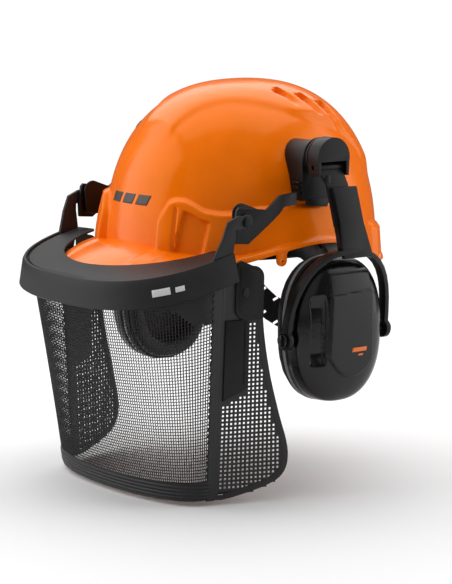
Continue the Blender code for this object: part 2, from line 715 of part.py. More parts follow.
def panel_x(y, z):
    """Where the side panels' sheet lies: it spreads outwards behind the seam, more so lower down."""
    return seam_x(z) + (PANEL_SPREAD - PANEL_SPREAD_GROWTH * z) * (y - SEAM_Y)


def mesh_rows(levels, columns, low_share=1.0, start=0.0):
    """Rows down the front mesh, each from the right seam round the front to the left seam."""
    rows = []
    for level in range(levels + 1):
        t = mix(start, low_share, level / levels)
        row = []
        for i in range(columns + 1):
            u = mix(-90, 90, i / columns)
            x, forward = superellipse(1.0, 1.0, MESH_POWER, u)
            front_share = -forward
            z = mix(mix(MESH_TOP_FOOT_Z, MESH_TOP_FRONT_Z, front_share),
                    mix(MESH_LOW_FOOT_Z, MESH_LOW_FRONT_Z, front_share), t)
            front = -(DOME_HALF_LENGTH + mix(MESH_TOP_FRONT, MESH_LOW_FRONT, t))
            row.append((seam_x(z) * x, mix(SEAM_Y - GAP, front, front_share), z))
        rows.append(row)
    return rows


def build_mesh_and_hem():
    """Front mesh and the hem along its lower edge."""
    pivot = (0, PIVOT_Y, PIVOT_Z)
    inside = (0.0, 0.0, -0.1)
    mesh = add_part("visor_mesh", sheet(mesh_rows(6, 28), inside), "visor_mesh", pivot=pivot)
    thicken(mesh, MESH_STOCK, 0.0)
    length = MESH_LOW_FRONT_Z - MESH_TOP_FRONT_Z
    start = 1 - (GAP + MESH_STOCK) / length
    end = start - HEM_HEIGHT / length
    hem = add_part("visor_hem", sheet(mesh_rows(1, 28, end, start), inside), "black_plastic", pivot=pivot)
    thicken(hem, HEM_STOCK, 0.0)


def panel_sheet(outline_rows, columns, offset):
    """Grid on the side panel's sheet. Each row is (height at the front, height at the rear, front y, rear y)."""
    rows = []
    for front_z, rear_z, front_y, rear_y in outline_rows:
        row = []
        for i in range(columns + 1):
            y = mix(front_y, rear_y, i / columns)
            z = mix(front_z, rear_z, i / columns)
            row.append((panel_x(y, z) + offset, y, z))
        rows.append(row)
    return rows


def build_visor_side(side, sign):
    """Side panel with its seam strip, its stiffener and its clip plate."""
    pivot = (0, PIVOT_Y, PIVOT_Z)
    inside = (0.0, (SEAM_Y + CLIP_PLATE_REAR_Y) / 2, -0.1)
    panel_front = SEAM_Y + SEAM_WIDTH
    rows = [(z, z, panel_front, y) for z, y in PANEL_EDGE]
    bm = sheet(panel_sheet(rows, 3, 0.0), inside)
    thicken(add_part("side_panel_" + side, bm, "visor_mesh", pivot, sign), MESH_STOCK, 0.0)
    seam_low = PANEL_EDGE[-1][0]
    rows = [(mix(PANEL_EDGE[0][0], seam_low, i / 4),) * 2 + (SEAM_Y + GAP, panel_front - GAP) for i in range(5)]
    bm = sheet(panel_sheet(rows, 1, 0.0), inside)
    thicken(add_part("seam_strip_" + side, bm, "black_plastic", pivot, sign), SEAM_STOCK, 0.0)
    outer = MESH_STOCK / 2 + GAP
    front = panel_front + GAP + SEAM_STOCK / 2
    rear = front + STIFFENER_WIDTH
    top = CLIP_PLATE_LOW_Z - GAP
    middle = (top + STIFFENER_LOW_Z) / 2
    rows = [(top, top, front, rear), (middle, middle, front, rear),
            (STIFFENER_LOW_Z, STIFFENER_LOW_Z + STIFFENER_SLANT, front, rear)]
    bm = sheet(panel_sheet(rows, 2, outer + STIFFENER_STOCK / 2), inside)
    thicken(add_part("stiffener_" + side, bm, "black_plastic", pivot, sign), STIFFENER_STOCK, 0.0)
    rows = [(mix(CLIP_PLATE_TOP_Z, CLIP_PLATE_LOW_Z + STIFFENER_STOCK, i / 2),) * 2
            + (CLIP_PLATE_FRONT_Y, CLIP_PLATE_REAR_Y) for i in range(3)]
    bm = sheet(panel_sheet(rows, 2, outer + CLIP_PLATE_STOCK / 2), inside)
    thicken(add_part("clip_plate_" + side, bm, "black_plastic", pivot, sign), CLIP_PLATE_STOCK, 0.0)


def arm_inner_x():
    """Inner face of the visor's arm."""
    return DOME_HALF_WIDTH + PIVOT_OUT


def build_visor_arm(side, sign):
    """Arm from the frame's top face up to a hook round the pivot pin."""
    inner = arm_inner_x()
    outline = [(PIVOT_Y + y, PIVOT_Z + z) for y, z in ARM_BLADE]
    outline += arc(PIVOT_Y, PIVOT_Z, ARM_EYE_RADIUS, *ARM_EYE_SPAN, 10)
    bm = plate(outline, inner, inner + ARM_STOCK)
    bend_z = PIVOT_Z - ARM_BEND
    foot_z = min(z for _, z in outline)
    bmesh.ops.bisect_plane(bm, geom=bm.verts[:] + bm.edges[:] + bm.faces[:], plane_co=(0, 0, bend_z),
                           plane_no=(0, 0, 1))
    drop = inner - DOME_HALF_WIDTH - ARM_FOOT_OUT
    for vert in bm.verts:
        vert.co.x -= drop * max(0.0, (bend_z - vert.co.z) / (bend_z - foot_z))
    arm = add_part("visor_arm_" + side, bm, "black_plastic", (inner, PIVOT_Y, PIVOT_Z), sign)
    bed = [frame_bed(mix(0.4, 1.0, i / 8)) for i in range(9)]
    combine(arm, add_part("arm_bed_" + side, sweep(bed, closed=False), "black_plastic", sign=sign), "DIFFERENCE")
    hole = rod("pin_hole_" + side, (sign * (inner - ARM_STOCK), PIVOT_Y, PIVOT_Z),
               (sign * (inner + 2 * ARM_STOCK), PIVOT_Y, PIVOT_Z), PIN_RADIUS + RUNNING_GAP, "steel")
    combine(arm, hole, "DIFFERENCE")


def build_visor_link(side, sign):
    """Fixed link that carries the visor's pivot pin in front of the muff carrier."""
    outer = arm_inner_x() - RUNNING_GAP
    carrier_front = SWIVEL_Y - CARRIER_RADIUS
    outline = [(PIVOT_Y + y, PIVOT_Z + z) for y, z in LINK_PLATE]
    tail_y = carrier_front - LINK_TAIL_GAP
    outline += [(tail_y, PIVOT_Z + LINK_TAIL_LOW), (tail_y, PIVOT_Z + LINK_TAIL_HIGH)]
    bm = plate(outline, outer - LINK_STOCK, outer)
    bend_y = PIVOT_Y + LINK_BEND
    bmesh.ops.bisect_plane(bm, geom=bm.verts[:] + bm.edges[:] + bm.faces[:], plane_co=(0, bend_y, 0),
                           plane_no=(0, 1, 0))
    set_in = outer - DOME_HALF_WIDTH - CARRIER_OUT + LINK_STEP
    for vert in bm.verts:
        vert.co.x -= set_in * smooth((vert.co.y - bend_y) / (carrier_front - bend_y))
    link = add_part("visor_link_" + side, bm, "black_plastic", (0, 0, 0), sign)
    pin_end = arm_inner_x() + ARM_STOCK
    head = PIN_RADIUS + PIN_HEAD_REACH
    profile = [(0.0, PIN_HEAD), (head - PIN_HEAD_ROUNDING, PIN_HEAD), (head, PIN_HEAD - PIN_HEAD_ROUNDING),
               (head, RUNNING_GAP),
               (PIN_RADIUS, RUNNING_GAP), (PIN_RADIUS, RUNNING_GAP - ARM_STOCK - LINK_STOCK),
               (0.0, RUNNING_GAP - ARM_STOCK - LINK_STOCK)]
    turned("visor_pin_" + side, profile, (sign * pin_end, PIVOT_Y, PIVOT_Z), (sign, 0, 0), "steel")
    hole = rod("link_hole_" + side, (sign * (outer - 2 * LINK_STOCK), PIVOT_Y, PIVOT_Z),
               (sign * (outer + LINK_STOCK), PIVOT_Y, PIVOT_Z), PIN_RADIUS + GAP, "steel")
    combine(link, hole, "DIFFERENCE")


# Ear muffs -----------------------------------------------------------------------------------------------
def carrier_outer_x():
    """Outer face of the muff carrier."""
    return DOME_HALF_WIDTH + CARRIER_OUT


def hood_outer_x():
    """Outer face of the swivel's hood."""
    return carrier_outer_x() + BARREL_LENGTH + HOOD_DEPTH


def cup_rim_x():
    """Plane of the cup's rim."""
    return DOME_HALF_WIDTH + CUP_OUT


def tilt_x():
    """Tilt axis of the muff."""
    return hood_outer_x() - TILT_PIN_DEPTH


def build_carrier(side, sign):
    """Housing that fills the space between the dome and the muff's swivel."""
    inner = DOME_HALF_WIDTH * dome_share(CARRIER_CENTRE_Z + CARRIER_RADIUS) - CARRIER_BURY
    outline = arc(SWIVEL_Y, CARRIER_CENTRE_Z, CARRIER_RADIUS, 0, 180)
    outline += [(SWIVEL_Y - CARRIER_LOW_HALF, CARRIER_LOW_Z), (SWIVEL_Y + CARRIER_LOW_HALF, CARRIER_LOW_Z)]
    carrier = add_part("muff_carrier_" + side, plate(outline, inner, carrier_outer_x()), "black_plastic", sign=sign)
    rows = shell_rows(SHELL_GAP)[:DOME_ROWS + 1]
    bm = sheet(rows, inside=(0, 0, BAND_TOP), pole=(0, 0, DOME_HEIGHT + SHELL_GAP), wrap=True)
    rim_edges = [edge for edge in bm.edges if edge.is_boundary]
    bmesh.ops.contextual_create(bm, geom=rim_edges)
    bmesh.ops.recalc_face_normals(bm, faces=bm.faces)
    combine(carrier, add_part("dome_cutter_" + side, bm, "orange_shell"), "DIFFERENCE")
    bore = rod("bore_" + side, (sign * (inner - CARRIER_OUT), SWIVEL_Y, SWIVEL_Z),
               (sign * (carrier_outer_x() + CARRIER_OUT), SWIVEL_Y, SWIVEL_Z), CARRIER_BORE, "steel")
    combine(carrier, bore, "DIFFERENCE")


def build_swivel(side, sign):
    """Swivel: a barrel against the carrier and a hood with the slot for the tilting tongue."""
    start = carrier_outer_x() + RUNNING_GAP
    middle = carrier_outer_x() + BARREL_LENGTH
    outline = arc(SWIVEL_Y, SWIVEL_Z, HOOD_RADIUS, *HOOD_SPAN, 18)
    foot = HOOD_RADIUS - HOOD_TAPER
    outline += [(SWIVEL_Y - foot, HOOD_LOW_Z), (SWIVEL_Y + foot, HOOD_LOW_Z)]
    pivot = (start, SWIVEL_Y, SWIVEL_Z)
    hood = add_part("muff_swivel_" + side, plate(outline, middle, hood_outer_x()), "black_plastic", pivot, sign)
    barrel = rod("barrel_" + side, (sign * start, SWIVEL_Y, SWIVEL_Z),
                 (sign * (middle + BARREL_BURY), SWIVEL_Y, SWIVEL_Z), BARREL_RADIUS, "black_plastic", 24)
    combine(hood, barrel, "UNION")
    bm = bmesh.new()
    bmesh.ops.create_cube(bm, size=1.0)
    depth = TILT_PIN_DEPTH + TONGUE_EYE_RADIUS + 2 * RUNNING_GAP
    size = (2 * depth, 2 * SLOT_HALF_WIDTH, 2 * (SLOT_TOP_Z - HOOD_LOW_Z))
    bmesh.ops.scale(bm, vec=size, verts=bm.verts)
    bmesh.ops.translate(bm, vec=(hood_outer_x(), SWIVEL_Y, HOOD_LOW_Z), verts=bm.verts)
    combine(hood, add_part("slot_" + side, bm, "black_plastic", sign=sign), "DIFFERENCE")
    pin_at = (sign * tilt_x(), TILT_PIN_Z)
    reach = HOOD_RADIUS + BARREL_BURY
    hole = rod("tilt_hole_" + side, (pin_at[0], SWIVEL_Y - reach, pin_at[1]),
               (pin_at[0], SWIVEL_Y + reach, pin_at[1]), TILT_PIN_RADIUS + GAP, "steel")
    combine(hood, hole, "DIFFERENCE")
    length = HOOD_RADIUS - TILT_PIN_RECESS
    rod("tilt_pin_" + side, (pin_at[0], SWIVEL_Y - length, pin_at[1]),
        (pin_at[0], SWIVEL_Y + length, pin_at[1]), TILT_PIN_RADIUS, "steel", 12)
    bolt_start = DOME_HALF_WIDTH * dome_share(SWIVEL_Z) + CARRIER_BURY
    rod("swivel_bolt_" + side, (sign * bolt_start, SWIVEL_Y, SWIVEL_Z), (sign * (start - GAP), SWIVEL_Y, SWIVEL_Z),
        BOLT_RADIUS, "steel", 12)


def yoke_inner_x(z):
    """Inner face of the yoke's arm, which leans outwards as it goes down."""
    down = (YOKE_TOP_Z - z) / (YOKE_TOP_Z - YOKE_LOW_Z)
    return DOME_HALF_WIDTH + YOKE_OUT + YOKE_LEAN * down


def yoke_middle_y(z):
    """Middle of the yoke's arm, which runs backwards as it goes down."""
    down = (YOKE_TOP_Z - z) / (YOKE_TOP_Z - YOKE_LOW_Z)
    return SWIVEL_Y + YOKE_BEHIND + YOKE_SET_BACK * down


def build_tongue(side, sign):
    """Tongue that hangs from the tilt pin and guides the yoke's arm up and down."""
    half = SLOT_HALF_WIDTH - RUNNING_GAP
    eye = rod("eye_" + side, (sign * tilt_x(), SWIVEL_Y - half, TILT_PIN_Z),
              (sign * tilt_x(), SWIVEL_Y + half, TILT_PIN_Z), TONGUE_EYE_RADIUS, "black_plastic")
    sections = []
    top = TILT_PIN_Z
    bend = YOKE_TOP_Z + TONGUE_BEND_RISE
    narrow = half - TONGUE_NARROWING
    for z, width in ((top, half), (bend, narrow), (TONGUE_END_Z, narrow)):
        outer = yoke_inner_x(z) - RUNNING_GAP if z <= bend else tilt_x() + TONGUE_STOCK / 2
        middle = SWIVEL_Y + max(0.0, YOKE_SET_BACK * (bend - z) / (bend - YOKE_LOW_Z))
        sections.append([(outer - TONGUE_STOCK, middle - width, z), (outer, middle - width, z),
                         (outer, middle + width, z), (outer - TONGUE_STOCK, middle + width, z)])
    pivot = (tilt_x(), SWIVEL_Y, TILT_PIN_Z)
    tongue = add_part("muff_tongue_" + side, sweep(sections, closed=False), "black_plastic", pivot, sign)
    combine(tongue, eye, "UNION")
    hole = rod("eye_hole_" + side, (sign * tilt_x(), SWIVEL_Y - 2 * half, TILT_PIN_Z),
               (sign * tilt_x(), SWIVEL_Y + 2 * half, TILT_PIN_Z), TILT_PIN_RADIUS + RUNNING_GAP, "steel")
    combine(tongue, hole, "DIFFERENCE")


def pivot_x():
    """Axis of the studs on which the cup turns."""
    return cup_rim_x() + CUP_PIVOT_DEPTH


def bow_half_width():
    """Inner half width of the bow round the cup."""
    return CUP_HALF_WIDTH + BOW_CLEARANCE


def build_yoke(side, sign):
    """Sprung arm and the bow that carries the cup on two studs."""
    sections = []
    for z, half in ((YOKE_TOP_Z, YOKE_TOP_HALF), ((YOKE_TOP_Z + YOKE_LOW_Z) / 2, YOKE_TOP_HALF),
                    (YOKE_LOW_Z, YOKE_LOW_HALF)):
        inner = yoke_inner_x(z)
        middle = yoke_middle_y(z)
        sections.append([(inner, middle - half, z), (inner + YOKE_STOCK, middle - half, z),
                         (inner + YOKE_STOCK, middle + half, z), (inner, middle + half, z)])
    pivot = (pivot_x(), 0.0, CUP_PIVOT_Z)
    yoke = add_part("yoke_" + side, sweep(sections, closed=False), "black_plastic", pivot, sign)
    rise = CUP_Z + CUP_HALF_HEIGHT + BOW_RISE + BOW_BAR / 2 - CUP_PIVOT_Z
    top_x = yoke_inner_x(YOKE_LOW_Z) - BOW_DEPTH / 2 + YOKE_STOCK
    steps = 20
    bow = []
    for i in range(steps + 1):
        turn = mix(90, -90, i / steps)
        y, lift = superellipse(bow_half_width() + BOW_BAR / 2, 1.0, CUP_POWER, turn)
        up = -lift
        centre = Vector((mix(pivot_x(), top_x, up ** 1.5), y, CUP_PIVOT_Z + rise * up))
        angle = math.radians(turn)
        out = Vector((0.0, math.sin(angle), math.cos(angle))) * BOW_BAR / 2
        deep = Vector((BOW_DEPTH / 2, 0.0, 0.0))
        bow.append([centre - out - deep, centre + out - deep, centre + out + deep, centre - out + deep])
    combine(yoke, add_part("bow_" + side, sweep(bow, closed=False), "black_plastic", sign=sign), "UNION")
    for name, end in (("front", -1.0), ("rear", 1.0)):
        near = end * bow_half_width()
        far = end * (bow_half_width() + BOW_BAR)
        x = sign * pivot_x()
        eye = rod(f"eye_{name}_{side}", (x, near, CUP_PIVOT_Z), (x, far, CUP_PIVOT_Z), EYE_RADIUS, "black_plastic")
        combine(yoke, eye, "UNION")
        hole = rod(f"stud_hole_{name}_{side}", (x, near - end * STUD_HEAD, CUP_PIVOT_Z),
                   (x, far + end * STUD_HEAD, CUP_PIVOT_Z), STUD_RADIUS + RUNNING_GAP, "steel")
        combine(yoke, hole, "DIFFERENCE")
        shank = BOW_CLEARANCE + BOW_BAR - GAP
        profile = [(0.0, STUD_HEAD + RUNNING_GAP), (STUD_HEAD_RADIUS - STUD_ROUNDING, STUD_HEAD + RUNNING_GAP),
                   (STUD_HEAD_RADIUS, STUD_HEAD), (STUD_HEAD_RADIUS, RUNNING_GAP), (STUD_RADIUS, RUNNING_GAP),
                   (STUD_RADIUS, -shank), (0.0, -shank)]
        turned(f"cup_stud_{name}_{side}", profile, (x, far, CUP_PIVOT_Z), (0.0, end, 0.0), "black_plastic")


def oval(half_width, half_height, x, steps=28):
    """Cup outline in Y and Z, across X."""
    points = []
    for i in range(steps):
        y, z = superellipse(half_width, half_height, CUP_POWER, 360 * i / steps)
        points.append((x, y, CUP_Z + z))
    return points


def ring_sections(half_width, half_height, width, inner_x, outer_x, crown):
    """Sections of an oval ring, with a crowned inner face if crown is above 0."""
    sections = []
    outer = oval(half_width, half_height, 0.0)
    inner = oval(half_width - width, half_height - width, 0.0)
    for (_, outer_y, outer_z), (_, inner_y, inner_z) in zip(outer, inner):
        section = [(outer_x, outer_y, outer_z), (inner_x + crown, outer_y, outer_z)]
        if crown > 0:
            section.append((inner_x, (outer_y + inner_y) / 2, (outer_z + inner_z) / 2))
        section += [(inner_x + crown, inner_y, inner_z), (outer_x, inner_y, inner_z)]
        sections.append(section)
    return sections


def build_cup(side, sign):
    """Ear cup: shell, cover, ring, cushion and foam."""
    pivot = (pivot_x(), 0.0, CUP_PIVOT_Z)
    rim = cup_rim_x()
    rows = [oval(CUP_HALF_WIDTH - inset, CUP_HALF_HEIGHT - inset, rim + share * CUP_DEPTH)
            for share, inset in CUP_PROFILE]
    bm = sheet(rows, inside=(rim, 0.0, CUP_Z), wrap=True)
    face_edges = [edge for edge in bm.edges if edge.is_boundary and edge.verts[0].co.x > rim + CUP_DEPTH / 2]
    bmesh.ops.contextual_create(bm, geom=face_edges)
    bmesh.ops.recalc_face_normals(bm, faces=bm.faces)
    bm.normal_update()
    if max(bm.faces, key=lambda face: face.calc_center_median().x).normal.x < 0:
        bmesh.ops.reverse_faces(bm, faces=bm.faces)
    thicken(add_part("cup_shell_" + side, bm, "gloss_black", pivot, sign), CUP_WALL)
    face = rim + CUP_DEPTH
    inset = CUP_PROFILE[-1][1] + COVER_INSET
    half_height = CUP_HALF_HEIGHT - inset
    half_width = min(COVER_HALF_WIDTH, CUP_HALF_WIDTH - inset)
    cover_rows = [oval(half_width - chamfer, half_height - chamfer, face + GAP + share * COVER_STOCK)
                  for share, chamfer in ((0.0, 0.0), (0.5, 0.0), (1.0, COVER_CHAMFER))]
    add_part("cup_cover_" + side, sweep(cover_rows, closed=False), "gloss_black", pivot, sign)
    ring = ring_sections(CUP_HALF_WIDTH + RING_PROUD, CUP_HALF_HEIGHT + RING_PROUD, RING_WIDTH,
                         rim - GAP - RING_STOCK, rim - GAP, 0.0)
    add_part("cup_ring_" + side, sweep(ring, closed=True), "grey_ring", pivot, sign)
    cushion_outer = rim - 2 * GAP - RING_STOCK
    cushion = ring_sections(CUP_HALF_WIDTH, CUP_HALF_HEIGHT, CUSHION_WIDTH, cushion_outer - CUSHION_STOCK,
                            cushion_outer, CUSHION_STOCK / 3)
    add_part("cushion_" + side, sweep(cushion, closed=True), "cushion", pivot, sign)
    foam_in = CUP_WALL + FOAM_GAP
    foam_rows = [oval(CUP_HALF_WIDTH - foam_in, CUP_HALF_HEIGHT - foam_in, rim + GAP, 20),
                 oval(CUP_HALF_WIDTH - foam_in, CUP_HALF_HEIGHT - foam_in, rim + FOAM_STOCK, 20)]
    add_part("cup_foam_" + side, sweep(foam_rows, closed=False), "foam", pivot, sign)


def main():
    """Build every piece."""
    build_shell()
    build_headband()
    build_nape_ratchet()
    build_cradle()
    build_frame()
    build_mesh_and_hem()
    for side, sign in SIDES:
        build_visor_side(side, sign)
        build_visor_arm(side, sign)
        build_visor_link(side, sign)
        build_carrier(side, sign)
        build_swivel(side, sign)
        build_tongue(side, sign)
        build_yoke(side, sign)
        build_cup(side, sign)


main()
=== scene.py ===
"""Looks of the forestry helmet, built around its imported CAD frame.

Each sub-assembly is a class that holds its sizes, builds its meshes with bmesh operators and dresses them
in its finishes. Everything is in metres in the frame's own coordinates: +X is the wearer's left, -Y the way
the wearer looks, +Z up.
"""

import json
import logging
import math
from dataclasses import dataclass, field
from enum import Enum
from typing import Callable, Iterable

import bmesh
import bpy
from mathutils import Matrix, Vector

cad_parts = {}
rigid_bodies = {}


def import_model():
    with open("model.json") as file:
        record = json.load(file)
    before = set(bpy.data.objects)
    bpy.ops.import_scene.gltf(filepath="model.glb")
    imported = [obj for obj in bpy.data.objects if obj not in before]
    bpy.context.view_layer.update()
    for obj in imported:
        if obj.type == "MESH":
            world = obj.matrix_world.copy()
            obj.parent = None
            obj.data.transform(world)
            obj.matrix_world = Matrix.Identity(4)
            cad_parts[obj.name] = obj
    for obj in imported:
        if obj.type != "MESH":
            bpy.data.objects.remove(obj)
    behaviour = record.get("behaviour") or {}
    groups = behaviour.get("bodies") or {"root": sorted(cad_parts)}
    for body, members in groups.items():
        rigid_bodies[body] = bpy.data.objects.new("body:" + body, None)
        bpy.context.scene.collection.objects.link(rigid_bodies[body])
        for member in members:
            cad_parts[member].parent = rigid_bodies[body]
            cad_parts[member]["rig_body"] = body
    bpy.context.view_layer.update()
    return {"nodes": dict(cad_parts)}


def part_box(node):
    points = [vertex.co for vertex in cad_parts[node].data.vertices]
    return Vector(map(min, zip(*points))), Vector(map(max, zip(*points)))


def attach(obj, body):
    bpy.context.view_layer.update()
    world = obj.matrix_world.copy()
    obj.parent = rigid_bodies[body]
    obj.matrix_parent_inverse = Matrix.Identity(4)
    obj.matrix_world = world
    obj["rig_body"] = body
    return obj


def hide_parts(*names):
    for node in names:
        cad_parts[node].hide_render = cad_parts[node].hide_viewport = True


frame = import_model()

LOG = logging.getLogger("forestry_helmet")
SIDES = (("left", 1.0), ("right", -1.0))
OUTWARDS = Vector((1.0, 0.0, 0.0))
Surface = Callable[[float, float], Vector | tuple[float, float, float]]


# Numbers and shapes --------------------------------------------------------------------------------------
def smooth(t: float) -> float:
    """Ease from 0 to 1 with level ends.

    Args:
        t: Any number; what lies outside 0 to 1 is held at the ends.

    Returns:
        The eased share.
    """
    t = min(1.0, max(0.0, t))
    return t * t * (3.0 - 2.0 * t)


def mix(a: float, b: float, t: float) -> float:
    """Return the value a share t of the way from a to b."""
    return a + (b - a) * t


def window(value: float, low: float, high: float, edge: float) -> float:
    """Share that is 1 between two limits and eases to 0 outside them.

    Args:
        value: The number to test.
        low: Lower limit.
        high: Upper limit.
        edge: Width of the easing, centred on each limit.

    Returns:
        The share.
    """
    return smooth((value - low) / edge + 0.5) * smooth((high - value) / edge + 0.5)


def from_front(degrees: float) -> float:
    """Return the angle from the front, 0 to 180, of a direction on either side."""
    angle = degrees % 360.0
    return min(angle, 360.0 - angle)


def squared_sine(turn: float, power: float) -> float:
    """Return a sine whose crests are flattened by a power under 1."""
    return math.copysign(abs(math.sin(turn)) ** power, math.sin(turn))


def superellipse(half_x: float, half_y: float, power: float, degrees: float) -> tuple[float, float]:
    """Plan point at an angle from the front (-Y) over the wearer's left (+X).

    Args:
        half_x: Half size along X.
        half_y: Half size along Y.
        power: 2 is an ellipse, and more is squarer.
        degrees: The angle.

    Returns:
        The point's x and y.
    """
    s = math.sin(math.radians(degrees))
    c = math.cos(math.radians(degrees))
    x = half_x * math.copysign(abs(s) ** (2.0 / power), s)
    y = -half_y * math.copysign(abs(c) ** (2.0 / power), c)
    return x, y


def catmull(points: tuple[tuple[float, float], ...], value: float) -> float:
    """Smooth curve through points, read at a value of their first number.

    Args:
        points: Pairs in rising or falling order of their first number.
        value: Where the curve is read.

    Returns:
        The second number there.
    """
    keys = points if points[0][0] < points[-1][0] else points[::-1]
    value = min(keys[-1][0], max(keys[0][0], value))
    index = max(i for i, key in enumerate(keys[:-1]) if key[0] <= value)
    a, b = keys[index], keys[index + 1]
    before = keys[max(0, index - 1)]
    after = keys[min(len(keys) - 1, index + 2)]
    t = (value - a[0]) / (b[0] - a[0])
    span = b[0] - a[0]
    slope_a = (b[1] - before[1]) / max(1e-9, b[0] - before[0]) * span
    slope_b = (after[1] - a[1]) / max(1e-9, after[0] - a[0]) * span
    t2, t3 = t * t, t * t * t
    return ((2 * t3 - 3 * t2 + 1) * a[1] + (t3 - 2 * t2 + t) * slope_a
            + (3 * t2 - 2 * t3) * b[1] + (t3 - t2) * slope_b)


def centre(node: str) -> Vector:
    """Return the middle of a CAD node's box."""
    low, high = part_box(node)
    return (low + high) / 2


# Mesh tools ----------------------------------------------------------------------------------------------
def grid_surface(columns: int, rows: int, surface: Surface, wrap: bool = False) -> bmesh.types.BMesh:
    """A grid laid on a surface.

    Args:
        columns: Cells along the first share.
        rows: Cells along the second share.
        surface: Point for two shares from 0 to 1.
        wrap: Join the first column's side to the last one's.

    Returns:
        The open mesh.
    """
    bm = bmesh.new()
    bmesh.ops.create_grid(bm, x_segments=columns, y_segments=rows, size=0.5)
    for vert in bm.verts:
        vert.co = Vector(surface(vert.co.x + 0.5, vert.co.y + 0.5))
    if wrap:
        bmesh.ops.remove_doubles(bm, verts=bm.verts, dist=1e-6)
    return bm


def face_out(bm: bmesh.types.BMesh, inside: Vector) -> None:
    """Turn an open surface's faces away from a point.

    Args:
        bm: The surface.
        inside: A point on its inner side.
    """
    bmesh.ops.recalc_face_normals(bm, faces=bm.faces)
    bm.normal_update()
    facing = sum(face.normal.dot(face.calc_center_median() - inside) for face in bm.faces)
    if facing < 0:
        bmesh.ops.reverse_faces(bm, faces=bm.faces)


def close_ends(bm: bmesh.types.BMesh) -> None:
    """Close the open ends of a tube and face it outwards."""
    bmesh.ops.holes_fill(bm, edges=[edge for edge in bm.edges if edge.is_boundary], sides=0)
    bmesh.ops.recalc_face_normals(bm, faces=bm.faces)


def mirrored(bm: bmesh.types.BMesh, sign: float) -> bmesh.types.BMesh:
    """Mirror a mesh to the wearer's right where sign is negative, with its faces kept outwards."""
    if sign < 0:
        bmesh.ops.scale(bm, vec=(-1.0, 1.0, 1.0), verts=bm.verts)
        bmesh.ops.reverse_faces(bm, faces=bm.faces)
    return bm


def outline_plate(outline: Iterable[tuple[float, float]], inner_x: float,
                  outer_x: float) -> bmesh.types.BMesh:
    """Flat plate with an outline in Y and Z, extruded along X.

    Args:
        outline: Points in order round the plate.
        inner_x: First face's x.
        outer_x: Second face's x.

    Returns:
        The closed mesh.
    """
    bm = bmesh.new()
    face = bm.faces.new([bm.verts.new((inner_x, y, z)) for y, z in outline])
    extruded = bmesh.ops.extrude_face_region(bm, geom=[face])["geom"]
    moved = [item for item in extruded if isinstance(item, bmesh.types.BMVert)]
    bmesh.ops.translate(bm, vec=(outer_x - inner_x, 0.0, 0.0), verts=moved)
    bmesh.ops.recalc_face_normals(bm, faces=bm.faces)
    return bm


def arc(centre_y: float, centre_z: float, radius: float, start: float, end: float,
        steps: int = 12) -> list[tuple[float, float]]:
    """Points in Y and Z on an arc.

    Args:
        centre_y: Centre's y.
        centre_z: Centre's z.
        radius: The arc's radius.
        start: First angle in degrees, from +Y towards +Z.
        end: Last angle in degrees.
        steps: Number of chords.

    Returns:
        The points.
    """
    angles = [math.radians(mix(start, end, i / steps)) for i in range(steps + 1)]
    return [(centre_y + radius * math.cos(a), centre_z + radius * math.sin(a)) for a in angles]


def joined(meshes: Iterable[bmesh.types.BMesh]) -> bmesh.types.BMesh:
    """Put several meshes together as one.

    Args:
        meshes: The meshes, which are freed.

    Returns:
        The mesh that holds them all.
    """
    whole = bmesh.new()
    for part in meshes:
        data = bpy.data.meshes.new("joining")
        part.to_mesh(data)
        part.free()
        whole.from_mesh(data)
        bpy.data.meshes.remove(data)
    return whole


def disc(at: Vector, direction: Vector, radius: float, depth: float, round_off: float,
         segments: int = 40) -> bmesh.types.BMesh:
    """Round disc or bar with rounded edges.

    Args:
        at: Middle of its base.
        direction: The way it rises.
        radius: Its radius.
        depth: Its height.
        round_off: Radius of its edges.
        segments: Sides round it.

    Returns:
        The closed mesh.
    """
    bm = bmesh.new()
    bmesh.ops.create_cone(bm, cap_ends=True, segments=segments, radius1=radius, radius2=radius, depth=depth)
    ends = [edge for edge in bm.edges if abs(edge.verts[0].co.z - edge.verts[1].co.z) < depth / 4]
    bevel(bm, ends, round_off)
    turn = Vector((0.0, 0.0, 1.0)).rotation_difference(direction).to_matrix().to_4x4()
    turn.translation = at + direction.normalized() * depth / 2
    bmesh.ops.transform(bm, matrix=turn, verts=bm.verts)
    return bm


def bevel(bm: bmesh.types.BMesh, edges: list[bmesh.types.BMEdge], width: float, segments: int = 3) -> None:
    """Round some edges.

    Args:
        bm: The mesh.
        edges: Its edges to round.
        width: Width of the rounding.
        segments: Facets across it.
    """
    bmesh.ops.bevel(bm, geom=edges, offset=width, offset_type="OFFSET", affect="EDGES", segments=segments,
                    profile=0.5, material=-1, clamp_overlap=True)


def block(size: tuple[float, float, float], at: tuple[float, float, float],
          round_off: float) -> bmesh.types.BMesh:
    """Rectangular block with rounded edges.

    Args:
        size: Its size along X, Y and Z.
        at: Its middle.
        round_off: Width of its rounded edges.

    Returns:
        The closed mesh.
    """
    bm = bmesh.new()
    bmesh.ops.create_cube(bm, size=1.0)
    bmesh.ops.scale(bm, vec=size, verts=bm.verts)
    bevel(bm, bm.edges[:], round_off, 2)
    bmesh.ops.translate(bm, vec=at, verts=bm.verts)
    return bm


def sharp_edges(bm: bmesh.types.BMesh, degrees: float = 35.0) -> list[bmesh.types.BMEdge]:
    """Return the edges whose faces meet at more than an angle."""
    bm.normal_update()
    return [edge for edge in bm.edges
            if len(edge.link_faces) == 2 and edge.calc_face_angle(0.0) > math.radians(degrees)]


# Finishes ------------------------------------------------------------------------------------------------
class Texture(Enum):
    """The relief that a finish carries."""

    MOULDED = "moulded grain"
    POLISHED = "polished moulding"
    HIDE = "leatherette"
    WOVEN = "woven tape"
    FOAMED = "open foam"
    TURNED = "turned metal"
    CORDED = "ribbed edging"


